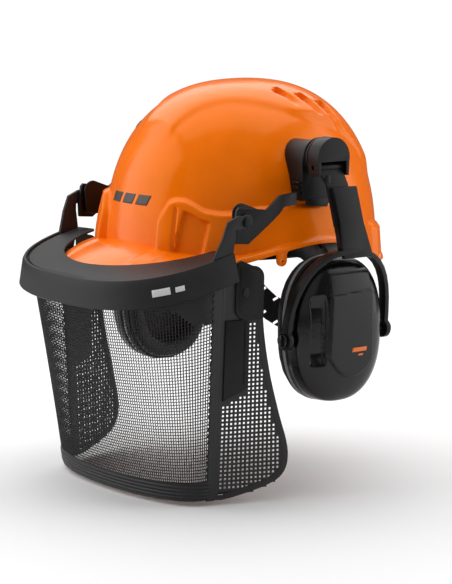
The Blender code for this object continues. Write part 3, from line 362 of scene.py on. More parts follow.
@dataclass(frozen=True)
class Finish:
    """One finish: the shader's own values and the relief over it.

    Attributes:
        name: Material name.
        slot: Material slot of the record; not used.
        colour: Linear base colour.
        roughness: Mean roughness.
        texture: The relief.
        metallic: 1 for bare metal.
        coat: Weight of the clear skin over the colour.
        coat_roughness: Roughness of that skin.
        grain: Size of the grain, in metres.
        depth: Strength of the relief.
        shade: How far the colour varies, as a share.
        sheen: Weight of the cloth sheen.
        specular: Specular level.
        tint: Colour of the plain reflections.
    """

    name: str
    slot: str
    colour: tuple[float, float, float]
    roughness: float
    texture: Texture
    metallic: float = 0.0
    coat: float = 0.0
    coat_roughness: float = 0.08
    grain: float = 0.0006
    depth: float = 0.15
    shade: float = 0.12
    sheen: float = 0.0
    specular: float = 0.5
    tint: tuple[float, float, float] = (1.0, 1.0, 1.0)

    def _relief(self, nodes: bpy.types.Nodes, links: bpy.types.NodeLinks,
                coordinates: bpy.types.NodeSocket) -> bpy.types.NodeSocket:
        """Build the height pattern.

        Args:
            nodes: The material's nodes.
            links: The material's links.
            coordinates: Object coordinates.

        Returns:
            The height socket.
        """
        scale = 1.0 / self.grain
        if self.texture in (Texture.HIDE, Texture.FOAMED):
            cells = nodes.new("ShaderNodeTexVoronoi")
            cells.inputs["Scale"].default_value = scale
            cells.feature = "F1" if self.texture is Texture.FOAMED else "SMOOTH_F1"
            links.new(coordinates, cells.inputs["Vector"])
            return cells.outputs["Distance"]
        if self.texture in (Texture.WOVEN, Texture.CORDED):
            ribs = []
            directions = ("X", "Z") if self.texture is Texture.WOVEN else ("Z",)
            for direction in directions:
                wave = nodes.new("ShaderNodeTexWave")
                wave.bands_direction = direction
                wave.inputs["Scale"].default_value = scale / 3.2
                wave.inputs["Distortion"].default_value = 0.6
                wave.inputs["Detail"].default_value = 1.0
                links.new(coordinates, wave.inputs["Vector"])
                ribs.append(wave.outputs["Fac"])
            if len(ribs) == 1:
                return ribs[0]
            crossed = nodes.new("ShaderNodeMath")
            crossed.operation = "MULTIPLY"
            links.new(ribs[0], crossed.inputs[0])
            links.new(ribs[1], crossed.inputs[1])
            return crossed.outputs["Value"]
        noise = nodes.new("ShaderNodeTexNoise")
        noise.inputs["Scale"].default_value = scale
        noise.inputs["Detail"].default_value = 3.0 if self.texture is Texture.MOULDED else 1.0
        noise.inputs["Roughness"].default_value = 0.6
        links.new(coordinates, noise.inputs["Vector"])
        return noise.outputs["Fac"]

    def build(self) -> bpy.types.Material:
        """Make the material.

        Returns:
            The material with colour drift, roughness drift and relief.
        """
        material = bpy.data.materials.new(self.name)
        material.use_nodes = True
        nodes = material.node_tree.nodes
        links = material.node_tree.links
        shader = nodes["Principled BSDF"]
        shader.inputs["Metallic"].default_value = self.metallic
        shader.inputs["Specular IOR Level"].default_value = self.specular
        shader.inputs["Specular Tint"].default_value = (*self.tint, 1.0)
        shader.inputs["Coat Weight"].default_value = self.coat
        shader.inputs["Coat Roughness"].default_value = self.coat_roughness
        shader.inputs["Sheen Weight"].default_value = self.sheen
        place = nodes.new("ShaderNodeTexCoord").outputs["Object"]
        drift = nodes.new("ShaderNodeTexNoise")
        drift.inputs["Scale"].default_value = 38.0
        drift.inputs["Detail"].default_value = 5.0
        links.new(place, drift.inputs["Vector"])
        tone = nodes.new("ShaderNodeValToRGB")
        for stop, position, change in zip(tone.color_ramp.elements, (0.30, 0.70), (-self.shade, self.shade)):
            stop.position = position
            stop.color = (*(min(1.0, value * (1.0 + change)) for value in self.colour), 1.0)
        links.new(drift.outputs["Fac"], tone.inputs["Fac"])
        links.new(tone.outputs["Color"], shader.inputs["Base Color"])
        wear = nodes.new("ShaderNodeMapRange")
        wear.inputs["To Min"].default_value = max(0.03, self.roughness - 0.05)
        wear.inputs["To Max"].default_value = min(1.0, self.roughness + 0.06)
        links.new(drift.outputs["Fac"], wear.inputs["Value"])
        links.new(wear.outputs["Result"], shader.inputs["Roughness"])
        bump = nodes.new("ShaderNodeBump")
        bump.inputs["Strength"].default_value = self.depth
        bump.inputs["Distance"].default_value = self.grain * 0.5
        links.new(self._relief(nodes, links, place), bump.inputs["Height"])
        links.new(bump.outputs["Normal"], shader.inputs["Normal"])
        return material


ORANGE = Finish("orange_moulding", "orange_shell", (0.97, 0.175, 0.0), 0.22, Texture.POLISHED,
                coat=0.05, coat_roughness=0.05, grain=0.012, depth=0.05, shade=0.04, specular=0.40,
                tint=(1.0, 0.60, 0.20))
SATIN_BLACK = Finish("satin_black_moulding", "black_plastic", (0.0055, 0.0056, 0.0058), 0.38,
                     Texture.MOULDED, grain=0.0007, depth=0.16, shade=0.22, specular=0.22)
FRAME_BLACK = Finish("grained_black_moulding", "black_plastic", (0.012, 0.0123, 0.0128), 0.48,
                     Texture.MOULDED, grain=0.0010, depth=0.24, shade=0.20, specular=0.28)
GLOSS_BLACK = Finish("gloss_black_moulding", "gloss_black", (0.0022, 0.0023, 0.0026), 0.20,
                     Texture.POLISHED, coat=0.04, coat_roughness=0.10, grain=0.006, depth=0.05, shade=0.18,
                     specular=0.34)
CUP_SATIN = Finish("satin_cup_panel", "gloss_black", (0.0055, 0.0057, 0.0062), 0.33, Texture.MOULDED,
                   grain=0.0006, depth=0.10, shade=0.15, specular=0.34)
NET_BLACK = Finish("black_net", "visor_mesh", (0.005, 0.005, 0.0055), 0.45, Texture.CORDED,
                   grain=0.0012, depth=0.20, shade=0.25)
PUNCHED_BLACK = Finish("black_punched_sheet", "visor_mesh", (0.005, 0.005, 0.0055), 0.48, Texture.MOULDED,
                       grain=0.0009, depth=0.20, shade=0.25)
EDGING = Finish("ribbed_black_edging", "black_plastic", (0.004, 0.004, 0.0045), 0.55, Texture.CORDED,
                grain=0.0030, depth=0.70, shade=0.25)
RING_GREY = Finish("silver_grey_ring", "grey_ring", (0.20, 0.205, 0.21), 0.36, Texture.MOULDED,
                   grain=0.0006, depth=0.08, shade=0.08)
HIDE_BLACK = Finish("black_leatherette", "cushion", (0.010, 0.010, 0.0115), 0.42, Texture.HIDE,
                    grain=0.0016, depth=0.30, shade=0.25, sheen=0.03, specular=0.36)
FOAM_DARK = Finish("charcoal_foam", "foam", (0.040, 0.040, 0.044), 0.95, Texture.FOAMED,
                   grain=0.0018, depth=0.80, shade=0.30, sheen=0.30)
TAPE_BLACK = Finish("black_webbing", "webbing", (0.030, 0.030, 0.034), 0.85, Texture.WOVEN,
                    grain=0.0012, depth=0.60, shade=0.25, sheen=0.35)
STEEL = Finish("turned_steel", "steel", (0.30, 0.30, 0.32), 0.32, Texture.TURNED,
               metallic=1.0, grain=0.0004, depth=0.10, shade=0.10)
PRINT_DARK = Finish("dark_print", "black_plastic", (0.045, 0.030, 0.022), 0.40, Texture.MOULDED,
                    grain=0.0006, depth=0.05, shade=0.15)
PRINT_LIGHT = Finish("pale_print", "grey_ring", (0.62, 0.62, 0.62), 0.45, Texture.MOULDED,
                     grain=0.0006, depth=0.05, shade=0.10)
PRINT_ORANGE = Finish("orange_print", "orange_shell", (0.80, 0.16, 0.01), 0.40, Texture.MOULDED,
                      grain=0.0006, depth=0.05, shade=0.10)
BUILT: dict[str, bpy.types.Material] = {}


def material_of(finish: Finish) -> bpy.types.Material:
    """Return a finish's material, made at its first use."""
    if finish.name not in BUILT:
        BUILT[finish.name] = finish.build()
    return BUILT[finish.name]


# Pieces --------------------------------------------------------------------------------------------------
def make_piece(name: str, bm: bmesh.types.BMesh, finish: Finish, body: str, replaces: Iterable[str] = (),
               angle: float = 40.0, ride: bool = True) -> bpy.types.Object:
    """Turn a mesh into a finished piece of the object.

    Args:
        name: The piece's name.
        bm: Its mesh, which is freed.
        finish: Its finish.
        body: CAD body that it rides on.
        replaces: CAD nodes that it stands for.
        angle: Edges sharper than this stay sharp.
        ride: False for a piece that is still to be worked on before it rides.

    Returns:
        The piece.
    """
    mesh = bpy.data.meshes.new(name)
    bm.to_mesh(mesh)
    bm.free()
    mesh.materials.append(material_of(finish))
    mesh.shade_smooth()
    mesh.set_sharp_from_angle(angle=math.radians(angle))
    piece = bpy.data.objects.new(name, mesh)
    bpy.context.scene.collection.objects.link(piece)
    if ride:
        settle(piece, body, replaces)
    return piece


def settle(piece: bpy.types.Object, body: str, replaces: Iterable[str] = ()) -> None:
    """Attach a piece to its CAD body and hide the CAD nodes it stands for.

    Args:
        piece: The piece.
        body: CAD body.
        replaces: CAD nodes.
    """
    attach(piece, body)
    names = list(replaces)
    if names:
        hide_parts(*names)
    LOG.info("piece %s rides on %s", piece.name, body)


def body_of(node: str) -> str:
    """Return the CAD body that holds a node."""
    return frame["nodes"][node]["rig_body"]


def copy_mesh(node: str) -> bmesh.types.BMesh:
    """Copy a CAD node's mesh with its loose triangles joined and its flat faces made whole.

    Args:
        node: The CAD node.

    Returns:
        The mesh.
    """
    bm = bmesh.new()
    bm.from_mesh(frame["nodes"][node].data)
    bmesh.ops.remove_doubles(bm, verts=bm.verts, dist=1e-5)
    bmesh.ops.dissolve_limit(bm, angle_limit=math.radians(1.0), verts=bm.verts, edges=bm.edges)
    return bm


def refine(node: str, finish: Finish, width: float, segments: int = 3, degrees: float = 28.0,
           extra: Iterable[bmesh.types.BMesh] = ()) -> bpy.types.Object:
    """Finer copy of a CAD node, with its edges rounded.

    Args:
        node: The CAD node.
        finish: The finish.
        width: Width of the rounded edges.
        segments: Facets across them.
        degrees: Edges sharper than this are rounded.
        extra: Meshes to join to it.

    Returns:
        The piece.
    """
    bm = copy_mesh(node)
    bevel(bm, sharp_edges(bm, degrees), width, segments)
    bm = joined([bm, *extra])
    return make_piece(node + "_fine", bm, finish, body_of(node), [node])


def add_solidify(piece: bpy.types.Object, thickness: float, offset: float = -1.0) -> None:
    """Give an open surface its wall.

    Args:
        piece: The piece.
        thickness: Wall thickness.
        offset: -1 keeps the surface as the outer face, and 0 as the middle.
    """
    wall = piece.modifiers.new("wall", "SOLIDIFY")
    wall.thickness = thickness
    wall.offset = offset


def add_subdivision(piece: bpy.types.Object, levels: int) -> None:
    """Smooth a piece by subdivision."""
    rounding = piece.modifiers.new("rounding", "SUBSURF")
    rounding.levels = levels
    rounding.render_levels = levels


def apply_modifiers(piece: bpy.types.Object) -> None:
    """Write a piece's modifiers into its mesh.

    Args:
        piece: The piece.
    """
    graph = bpy.context.evaluated_depsgraph_get()
    mesh = bpy.data.meshes.new_from_object(piece.evaluated_get(graph))
    piece.modifiers.clear()
    piece.data = mesh


def print_bar(name: str, patch: Surface, cells: tuple[int, int], inside: Vector, finish: Finish, body: str,
              stock: float, sign: float = 1.0) -> None:
    """Print one plain bar on a face, in place of any lettering.

    Args:
        name: The bar's name.
        patch: Its surface.
        cells: Cells along it and across it.
        inside: A point behind the face.
        finish: Its finish.
        body: CAD body that it rides on.
        stock: Thickness of the print.
        sign: 1 on the wearer's left, -1 on the right.
    """
    bm = grid_surface(*cells, patch)
    face_out(bm, inside)
    add_solidify(make_piece(name, mirrored(bm, sign), finish, body), stock)


@dataclass
class Inflation:
    """Cloth simulation that swells a padded piece like foam under its cover.

    Attributes:
        voxel: Size of the remeshed cells.
        pressure: Air pressure inside.
        frames: Frames stepped.
        cap: The furthest a point may move.
    """

    voxel: float = 0.004
    pressure: float = 4.0
    frames: int = 20
    cap: float = 0.004

    def run(self, piece: bpy.types.Object) -> None:
        """Swell the piece and leave the result in its mesh.

        Args:
            piece: A closed mesh at the origin.
        """
        remesh = piece.modifiers.new("cells", "REMESH")
        remesh.mode = "VOXEL"
        remesh.voxel_size = self.voxel
        remesh.use_smooth_shade = True
        apply_modifiers(piece)
        before = [vert.co.copy() for vert in piece.data.vertices]
        cloth = piece.modifiers.new("cloth", "CLOTH")
        cloth.settings.use_pressure = True
        cloth.settings.uniform_pressure_force = self.pressure
        cloth.settings.effector_weights.gravity = 0.0
        cloth.settings.tension_stiffness = 18.0
        cloth.settings.compression_stiffness = 18.0
        cloth.settings.bending_stiffness = 2.0
        scene = bpy.context.scene
        for step in range(1, self.frames + 1):
            scene.frame_set(step)
        apply_modifiers(piece)
        for vert, start in zip(piece.data.vertices, before):
            moved = vert.co - start
            if moved.length > self.cap:
                vert.co = start + moved.normalized() * self.cap
        scene.frame_set(1)
        soften = bmesh.new()
        soften.from_mesh(piece.data)
        for _ in range(3):
            bmesh.ops.smooth_vert(soften, verts=soften.verts, factor=0.5, use_axis_x=True, use_axis_y=True,
                                  use_axis_z=True)
        soften.to_mesh(piece.data)
        soften.free()
        piece.data.shade_smooth()
        add_subdivision(piece, 1)


# Shell ---------------------------------------------------------------------------------------------------
@dataclass
class HelmetShell:
    """The orange shell: dome with a raised crown, vents, side band with ribbed pockets, rim and peak."""

    half_width: float = 0.104
    half_length: float = 0.122
    height: float = 0.149
    plan_power: float = 2.2
    side_power: float = 2.4
    wall: float = 0.0025
    band_top: float = 0.050
    band_proud: float = 0.0052
    band_flare: float = 0.0034
    band_start: float = 19.5
    lip_height: float = 0.0058
    lip_reach: float = 0.0034
    rear_drop: float = 0.026
    rear_trim: float = 0.45
    rear_from: float = 98.0
    rear_turn: float = 30.0
    peak_reach: float = 0.050
    peak_edge_z: float = -0.0045
    crown_rise: float = 0.0032
    arch_rise: float = 0.0070
    arch_dip: float = 0.0035
    pocket_depth: float = 0.0042
    groove_depth: float = 0.0022
    rib_height: float = 0.0012
    bump_height: float = 0.0030
    ribs: tuple[tuple[float, float, float], ...] = (
        (60.0, 61.5, 1.4), (116.0, 118.0, 1.6), (139.0, 141.0, 1.6))
    vents: tuple[tuple[float, float, float], ...] = (
        (0.482, 0.075, 28.0), (0.545, 0.240, 31.0), (0.575, 0.395, 29.0))
    vent_reach: float = 0.0100
    vent_depths: tuple[float, float] = (0.0085, 0.0022)
    vent_halves: tuple[float, float] = (0.0048, 0.0026)
    dome_foot: float = 0.064
    rim_stations: tuple[tuple[float, float], ...] = (
        (0, 0.013), (50, 0.006), (90, 0.019), (135, -0.007), (180, -0.005))
    lug_y: float = -0.042
    lug_half: float = 0.00475
    lug_outer: float = 0.1121
    lug_stock: float = 0.0032
    lug_eye: float = 0.0014
    brow_columns: float = 0.55
    brow_angle: float = 64.0
    columns: int = 320
    dome_rows: int = 40
    band_rows: int = 46
    peak_rows: int = 18

    def _share(self, z: float) -> float:
        """Return the share of the plan size left at a height."""
        level = min(1.0, max(0.0, z / self.height))
        return (1.0 - level ** self.side_power) ** (1.0 / self.side_power)

    def _rim(self, degrees: float) -> float:
        """Return the rim's height at an angle from the front."""
        angle = from_front(degrees)
        for (start, low), (end, high) in zip(self.rim_stations, self.rim_stations[1:]):
            if angle <= end:
                return mix(low, high, smooth((angle - start) / (end - start)))
        return self.rim_stations[-1][1]

    def _ledge(self, angle: float) -> float:
        """Return the height of the band's ledge: an arch beside the brow that settles to a level line."""
        rise = self.arch_rise * window(angle, 23.0, 37.0, 12.0)
        dip = self.arch_dip * window(angle, 43.0, 60.0, 14.0)
        return self.band_top + rise - dip - self.rear_drop * self._rear(angle)

    def _rear(self, angle: float) -> float:
        """Return 0 at the front and sides and 1 at the back of the head."""
        return smooth((abs(angle) - self.rear_from) / self.rear_turn)

    def _plan(self, share: float, out: float, degrees: float) -> tuple[float, float]:
        """Point of a level outline of the shell.

        Args:
            share: Share of the plan size.
            out: Distance outwards from there.
            degrees: Angle from the front.

        Returns:
            The point's x and y.
        """
        return superellipse(self.half_width * share + out, self.half_length * share + out, self.plan_power,
                            degrees)

    def _angle(self, share: float) -> float:
        """Return the angle of a column: columns stand closer together round the brow."""
        half = abs(share - 0.5) * 2.0
        near = self.brow_columns
        angle = mix(self.brow_angle, 180.0, (half - near) / (1.0 - near))
        if half < near:
            angle = self.brow_angle * half / near
        return math.copysign(angle, share - 0.5)

    def _relief(self, degrees: float, z: float) -> float:
        """How far the outer face stands out from the plain dome.

        Args:
            degrees: Angle from the front.
            z: Height.

        Returns:
            The distance outwards.
        """
        angle = abs(degrees)
        start = self.band_start + 5.0 * smooth((z - 0.036) / 0.022)
        side = smooth((angle - start) / 2.2 + 0.5)
        ledge = self._ledge(angle)
        band = side * smooth((ledge - z) / 0.0042 + 0.5)
        down = smooth((ledge - z) / 0.045)
        trim = 1.0 - self.rear_trim * self._rear(angle)
        relief = band * (self.band_proud + self.band_flare * down) * trim
        slant = 2.0 * (z - 0.030) / 0.020
        pocket = window(angle - slant, 31.0, 43.5, 1.6) * smooth((ledge - 0.0085 - z) / 0.003 + 0.5)
        groove = window(angle, 28.2, 29.4, 1.2) * smooth((ledge - 0.0060 - z) / 0.004 + 0.5)
        rib = sum(window(angle, *place) for place in self.ribs)
        relief -= band * (self.pocket_depth * pocket + self.groove_depth * groove - self.rib_height * rib)
        bump = window(angle, 126.0, 134.0, 3.0) * smooth((0.030 - z) / 0.004)
        return relief + side * bump * self.bump_height

    def _crown(self, x: float, y: float) -> float:
        """How far the crown's raised panel stands above the dome at a plan point.

        Args:
            x: Plan x.
            y: Plan y.

        Returns:
            The rise.
        """
        across = abs(x) / self.half_width
        along = y / self.half_length
        half = 0.20 + 0.46 * smooth((along + 0.80) / 0.95)
        edge = smooth((half - across) / 0.075 + 0.5)
        front = smooth((along + 0.80) / 0.10)
        rise = self.crown_rise * edge * front * (0.55 + 0.45 * smooth((along + 0.2) / 0.8))
        for spot_x, spot_y, turn in self.vents:
            ahead = (along - spot_y) * self.half_length
            out = (across - spot_x) * self.half_width
            c, s = math.cos(math.radians(turn)), math.sin(math.radians(turn))
            long, wide = out * c + ahead * s, ahead * c - out * s
            run = smooth((long + self.vent_reach) / (2.0 * self.vent_reach))
            taper = mix(*self.vent_halves, run)
            scoop = window(long, -self.vent_reach, self.vent_reach, 0.0020)
            scoop *= smooth((taper - abs(wide)) / 0.0016 + 0.5)
            rise -= scoop * mix(*self.vent_depths, run)
        return rise

    def surface(self, share_u: float, share_v: float) -> tuple[float, float, float]:
        """Outer face of the shell.

        Args:
            share_u: Share round the helmet.
            share_v: Share from the crown, 0, to the free edge, 1.

        Returns:
            The point.
        """
        u = self._angle(share_u)
        total = self.dome_rows + self.band_rows + self.peak_rows
        row = share_v * total
        switch = self.dome_foot
        root_z = self._rim(u) + self.lip_height
        low = math.asin((switch / self.height) ** (self.side_power / 2.0))
        if row <= self.dome_rows:
            lift = mix(math.pi / 2.0, low, max(0.004, row / self.dome_rows))
            share = math.cos(lift) ** (2.0 / self.side_power)
            z = self.height * math.sin(lift) ** (2.0 / self.side_power)
            x, y = self._plan(share, 0.0, u)
            normal = Vector((x / self.half_width ** 2, y / self.half_length ** 2, z / self.height ** 2))
            fade = smooth((z - switch) / 0.02)
            return tuple(Vector((x, y, z)) + normal.normalized() * self._crown(x, y) * fade)
        if row <= self.dome_rows + self.band_rows:
            z = mix(switch, root_z, (row - self.dome_rows) / self.band_rows)
            return (*self._plan(self._share(z), self._relief(u, z), u), z)
        t = (row - self.dome_rows - self.band_rows) / self.peak_rows
        x0, y0 = self._plan(self._share(root_z), self._relief(u, root_z), u)
        trim = 1.0 - self.rear_trim * self._rear(u)
        x1, y1 = self._plan(1.0, (self.band_proud + self.band_flare + self.lip_reach) * trim, u)
        forward = max(0.0, math.cos(math.radians(u)))
        if forward > 0.0:
            y1 = -(self.half_length + self.peak_reach) * forward
        z1 = mix(self._rim(u), self.peak_edge_z, forward ** 2)
        crown = 0.0030 * math.sin(math.pi * t) * forward ** 2
        fillet = math.sin(math.pi / 2.0 * t)
        if forward >= 0.5:
            fillet = mix(fillet, t, forward * 2 - 1)
        return (mix(x0, x1, fillet), mix(y0, y1, fillet), mix(root_z, z1, t) + crown)

    def build(self) -> None:
        """Build the shell with its chin-strap lugs, and a plain printed mark on the brow."""
        rows = self.dome_rows + self.band_rows + self.peak_rows
        bm = grid_surface(self.columns, rows, self.surface, wrap=True)
        top = [edge for edge in bm.edges if edge.is_boundary and edge.verts[0].co.z > self.height / 2]
        bmesh.ops.holes_fill(bm, edges=top, sides=0)
        face_out(bm, Vector((0.0, 0.0, 0.03)))
        shell = make_piece("shell_fine", bm, ORANGE, "root", ["shell"], angle=60.0, ride=False)
        add_solidify(shell, self.wall)
        apply_modifiers(shell)
        shell.data.shade_smooth()
        settle(shell, "root", ["shell"])
        for side, sign in SIDES:
            self._lug(side, sign)
        self._brow_mark()

    def _lug(self, side: str, sign: float) -> None:
        """Build one chin-strap lug, a plate with a round eye under the rim.

        Args:
            side: Name of the side.
            sign: 1 on the wearer's left, -1 on the right.
        """
        y, half, outer = self.lug_y, self.lug_half, self.lug_outer
        rim = self._rim(71.0)
        eye_z = rim - 0.0058
        outline = [(y + half + 0.0020, rim + 0.0028), (y + half, rim - 0.0012)]
        outline += arc(y, eye_z, half, 0.0, -180.0, 16)
        outline += [(y - half, rim - 0.0012), (y - half - 0.0020, rim + 0.0028)]
        bm = outline_plate(outline, outer - self.lug_stock, outer)
        bevel(bm, sharp_edges(bm, 60.0), 0.0005, 2)
        eye = disc(Vector((outer - 0.01, y, eye_z)), OUTWARDS, self.lug_eye, 0.02, 0.0001, 20)
        cutter = make_helper("lug_eye_" + side, mirrored(eye, sign))
        lug = make_piece("chin_lug_" + side, mirrored(bm, sign), ORANGE, "root", ride=False)
        cut(lug, cutter)
        settle(lug, "root")

    def _brow_mark(self) -> None:
        """Print a plain mark of three slanted bars on the brow, in place of any lettering."""
        for index in range(3):
            low = -0.030 + index * 0.019

            def patch(s: float, t: float, low: float = low) -> tuple[float, float, float]:
                """Return a point of one printed bar."""
                z = mix(0.0500, 0.0585, t)
                x = low + mix(0.0, 0.0145, s) + 0.0035 * t
                share = self._share(z)
                half_y = self.half_length * share + 0.00025
                across = abs(x / (self.half_width * share)) ** self.plan_power
                return (x, -half_y * (1.0 - across) ** (1 / self.plan_power), z)

            print_bar(f"brow_mark_{index + 1}", patch, (12, 6), Vector((0.0, 0.0, 0.05)), PRINT_DARK, "root",
                      0.0004)


def make_helper(name: str, bm: bmesh.types.BMesh) -> bpy.types.Object:
    """Make a cutter, which is removed once it is used.

    Args:
        name: The cutter's name.
        bm: Its closed mesh, which is freed.

    Returns:
        The cutter.
    """
    mesh = bpy.data.meshes.new(name)
    bm.to_mesh(mesh)
    bm.free()
    helper = bpy.data.objects.new(name, mesh)
    bpy.context.scene.collection.objects.link(helper)
    return helper


def cut(piece: bpy.types.Object, cutter: bpy.types.Object) -> None:
    """Cut a piece with a helper, which is removed.

    Args:
        piece: The piece.
        cutter: The helper.
    """
    boolean = piece.modifiers.new("cut", "BOOLEAN")
    boolean.operation = "DIFFERENCE"
    boolean.solver = "EXACT"
    boolean.object = cutter
    apply_modifiers(piece)
    bpy.data.objects.remove(cutter)
    piece.data.shade_smooth()
    piece.data.set_sharp_from_angle(angle=math.radians(40.0))


# Visor ---------------------------------------------------------------------------------------------------
@dataclass
class Visor:
    """The swinging visor: frame, woven front mesh, punched side panels and their edgings."""

    half_width: float = 0.104
    half_length: float = 0.122
    frame_out: float = 0.014
    skirt_out: float = 0.020
    frame_front: float = 0.067
    inner_front: float = 0.043
    inner_out: float = -0.016
    inner_foot_y: float = -0.090
    foot_y: float = -0.096
    foot_z: float = 0.0170
    stock: float = 0.0025
    frame_power: float = 2.7
    seam_y: float = -0.111
    seam_out: float = 0.0105
    seam_taper: float = 0.07
    spread: float = 0.16
    spread_growth: float = 1.1
    mesh_power: float = 2.15
    net_columns: int = 116
    net_rows: int = 62
    net_strand: float = 0.00040
    net_stock: float = 0.0006
    punch_pitch: float = 0.0036
    punch_rim: float = 0.00085
    panel_stock: float = 0.0010
    panel_foot: float = -0.1885
    seam_width: float = 0.0045
    plate_gap: float = 0.0009
    border: float = 0.0055
    edge: tuple[tuple[float, float], ...] = (
        (-0.002, -0.069), (-0.038, -0.069), (-0.080, -0.063), (-0.118, -0.054), (-0.148, -0.0465),
        (-0.166, -0.0485), (-0.176, -0.058), (-0.182, -0.074), (-0.187, -0.092))
    stiffener_low: float = -0.104
    stiffener_rear: float = -0.0815
    body: str = "visor"

    def seam_x(self, z: float) -> float:
        """Return the seam's x at a height."""
        return self.half_width + self.seam_out + self.seam_taper * z

    def panel_x(self, y: float, z: float) -> float:
        """Return where the side panel's sheet lies."""
        return self.seam_x(z) + (self.spread - self.spread_growth * z) * (y - self.seam_y)

    @staticmethod
    def _outward(point: Vector, flatten: float = 1.0) -> Vector:
        """Return the level way out from the middle of the visor at a point."""
        return Vector((point.x, (point.y + 0.08) * flatten, 0.0)).normalized()

    def _rear_edge(self, z: float) -> float:
        """Return the y of the side panel's rear edge at a height."""
        return catmull(self.edge, z)

    def _rim_x(self, y: float) -> float:
        """Return the half width of the shell's rim at a distance along it."""
        spread = 0.011
        half_y = self.half_length + spread
        return (self.half_width + spread) * (1.0 - abs(y / half_y) ** 2.2) ** (1.0 / 2.2)

    def frame_profile(self, t: float) -> list[Vector]:
        """Section through the frame.

        Args:
            t: 0 at the front middle and 1 at the left foot.

        Returns:
            Points round the section, from the top's inner edge outwards and back under it.
        """
        top_width = self.half_width + self.frame_out
        front = -(self.half_length + self.frame_front)
        inner_front = -(self.half_length + self.inner_front)
        top = superellipse(top_width, 1.0, self.frame_power, 90.0 * t)
        share = -top[1]
        top_y = mix(self.foot_y, front, share)
        low_x = (self.half_width + self.skirt_out) * top[0] / top_width
        inner_y = mix(self.foot_y, inner_front, math.cos(math.pi / 2.0 * t))
        reach = min(1.0, max(0.0, (inner_y - self.inner_foot_y) / (inner_front - self.inner_foot_y)))
        inner_x = (self.half_width + self.inner_out) * (1.0 - reach ** 2) ** 0.5
        if inner_y > -self.half_length * 0.85:
            inner_x = max(inner_x, self._rim_x(inner_y) + 0.0016)
        along = (inner_y - self.foot_y) / (inner_front - self.foot_y)
        inner = Vector((inner_x, inner_y, mix(self.foot_z, 0.0035, along)))
        outer = Vector((top[0], top_y, mix(self.foot_z, -0.007, share)))
        low_z = mix(-0.004, -0.028, share)
        low = Vector((low_x, top_y - 0.001 * share, low_z))
        inward = Vector((-top[0] / top_width, share, 0.0)).normalized()
        across = (outer - inner).normalized()
        down = Vector((0.0, 0.0, -1.0))
        lip = 0.0016
        return [
            inner,
            inner - down * 0.0007 + across * 0.0012,
            outer - across * 0.0085,
            outer - across * 0.0068 - down * 0.0002,
            outer - across * 0.0058 + down * 0.0012,
            outer - across * 0.0046 + down * 0.0012,
            outer - across * 0.0036 - down * lip,
            outer - across * 0.0014 - down * (lip + 0.0002),
            outer + down * 0.0004,
            outer.lerp(low, 0.25),
            outer.lerp(low, 0.80),
            low - down * 0.0006,
            low + inward * 0.0008,
            low + inward * self.stock,
            outer.lerp(low, 0.45) + inward * self.stock,
            outer + inward * self.stock + down * self.stock,
            inner + down * self.stock * 0.6,
        ]

    def _frame(self) -> None:
        """Build the crescent frame by lofting its section from foot to foot."""
        steps = 60
        bm = bmesh.new()
        rings = []
        for step in range(-steps, steps + 1):
            section = self.frame_profile(abs(step / steps))
            verts = [bm.verts.new((math.copysign(p.x, step), p.y, p.z)) for p in section]
            rings.append([bm.edges.new((verts[i], verts[(i + 1) % len(verts)])) for i in range(len(verts))])
        for this, that in zip(rings, rings[1:]):
            bmesh.ops.bridge_loops(bm, edges=this + that)
        close_ends(bm)
        make_piece("visor_frame_fine", bm, FRAME_BLACK, self.body, ["visor_frame"], angle=50.0)
        self._frame_mark()

    def _frame_mark(self) -> None:
        """Print two plain bars on the frame's left flank, in place of any lettering."""
        bars = ((0.545, 0.655, 0.34, 0.62), (0.685, 0.740, 0.40, 0.60))
        for index, (start, end, low, high) in enumerate(bars):

            def patch(s: float, t: float, start: float = start, end: float = end, low: float = low,
                      high: float = high) -> Vector:
                """Return a point of one printed bar."""
                section = self.frame_profile(mix(start, end, s))
                point = section[8].lerp(section[11], mix(high, low, t))
                return point + self._outward(point) * 0.0003

            print_bar(f"frame_mark_{index + 1}", patch, (10, 3), Vector((0.0, -0.08, 0.0)), PRINT_LIGHT,
                      self.body, 0.0003)

    def net_point(self, s: float, t: float) -> tuple[float, float, float]:
        """Point of the front mesh.

        Args:
            s: Share from the right seam to the left seam.
            t: Share from the top down to the hem; up to 1.1 lies in the hem.

        Returns:
            The point.
        """
        x, forward = superellipse(1.0, 1.0, self.mesh_power, mix(-90.0, 90.0, s))
        share = -forward
        z = mix(mix(-0.005, -0.020, share), mix(-0.171, -0.174, share), t)
        front = -(self.half_length + mix(0.061, 0.028, t))
        return (self.seam_x(z) * x, mix(self.seam_y - 0.0003, front, share), z)

    def _even(self, count: int) -> list[float]:
        """Shares across the mesh that lie evenly along its curve.

        Args:
            count: Number of cells.

        Returns:
            The shares, one more than the cells.
        """
        fine = 600
        points = [Vector(self.net_point(i / fine, 0.5)) for i in range(fine + 1)]
        run = [0.0]
        for a, b in zip(points, points[1:]):
            run.append(run[-1] + (b - a).length)
        shares = []
        index = 0
        for cell in range(count + 1):
            target = run[-1] * cell / count
            while index < fine - 1 and run[index + 1] < target:
                index += 1
            step = run[index + 1] - run[index]
            shares.append((index + (target - run[index]) / step) / fine)
        return shares

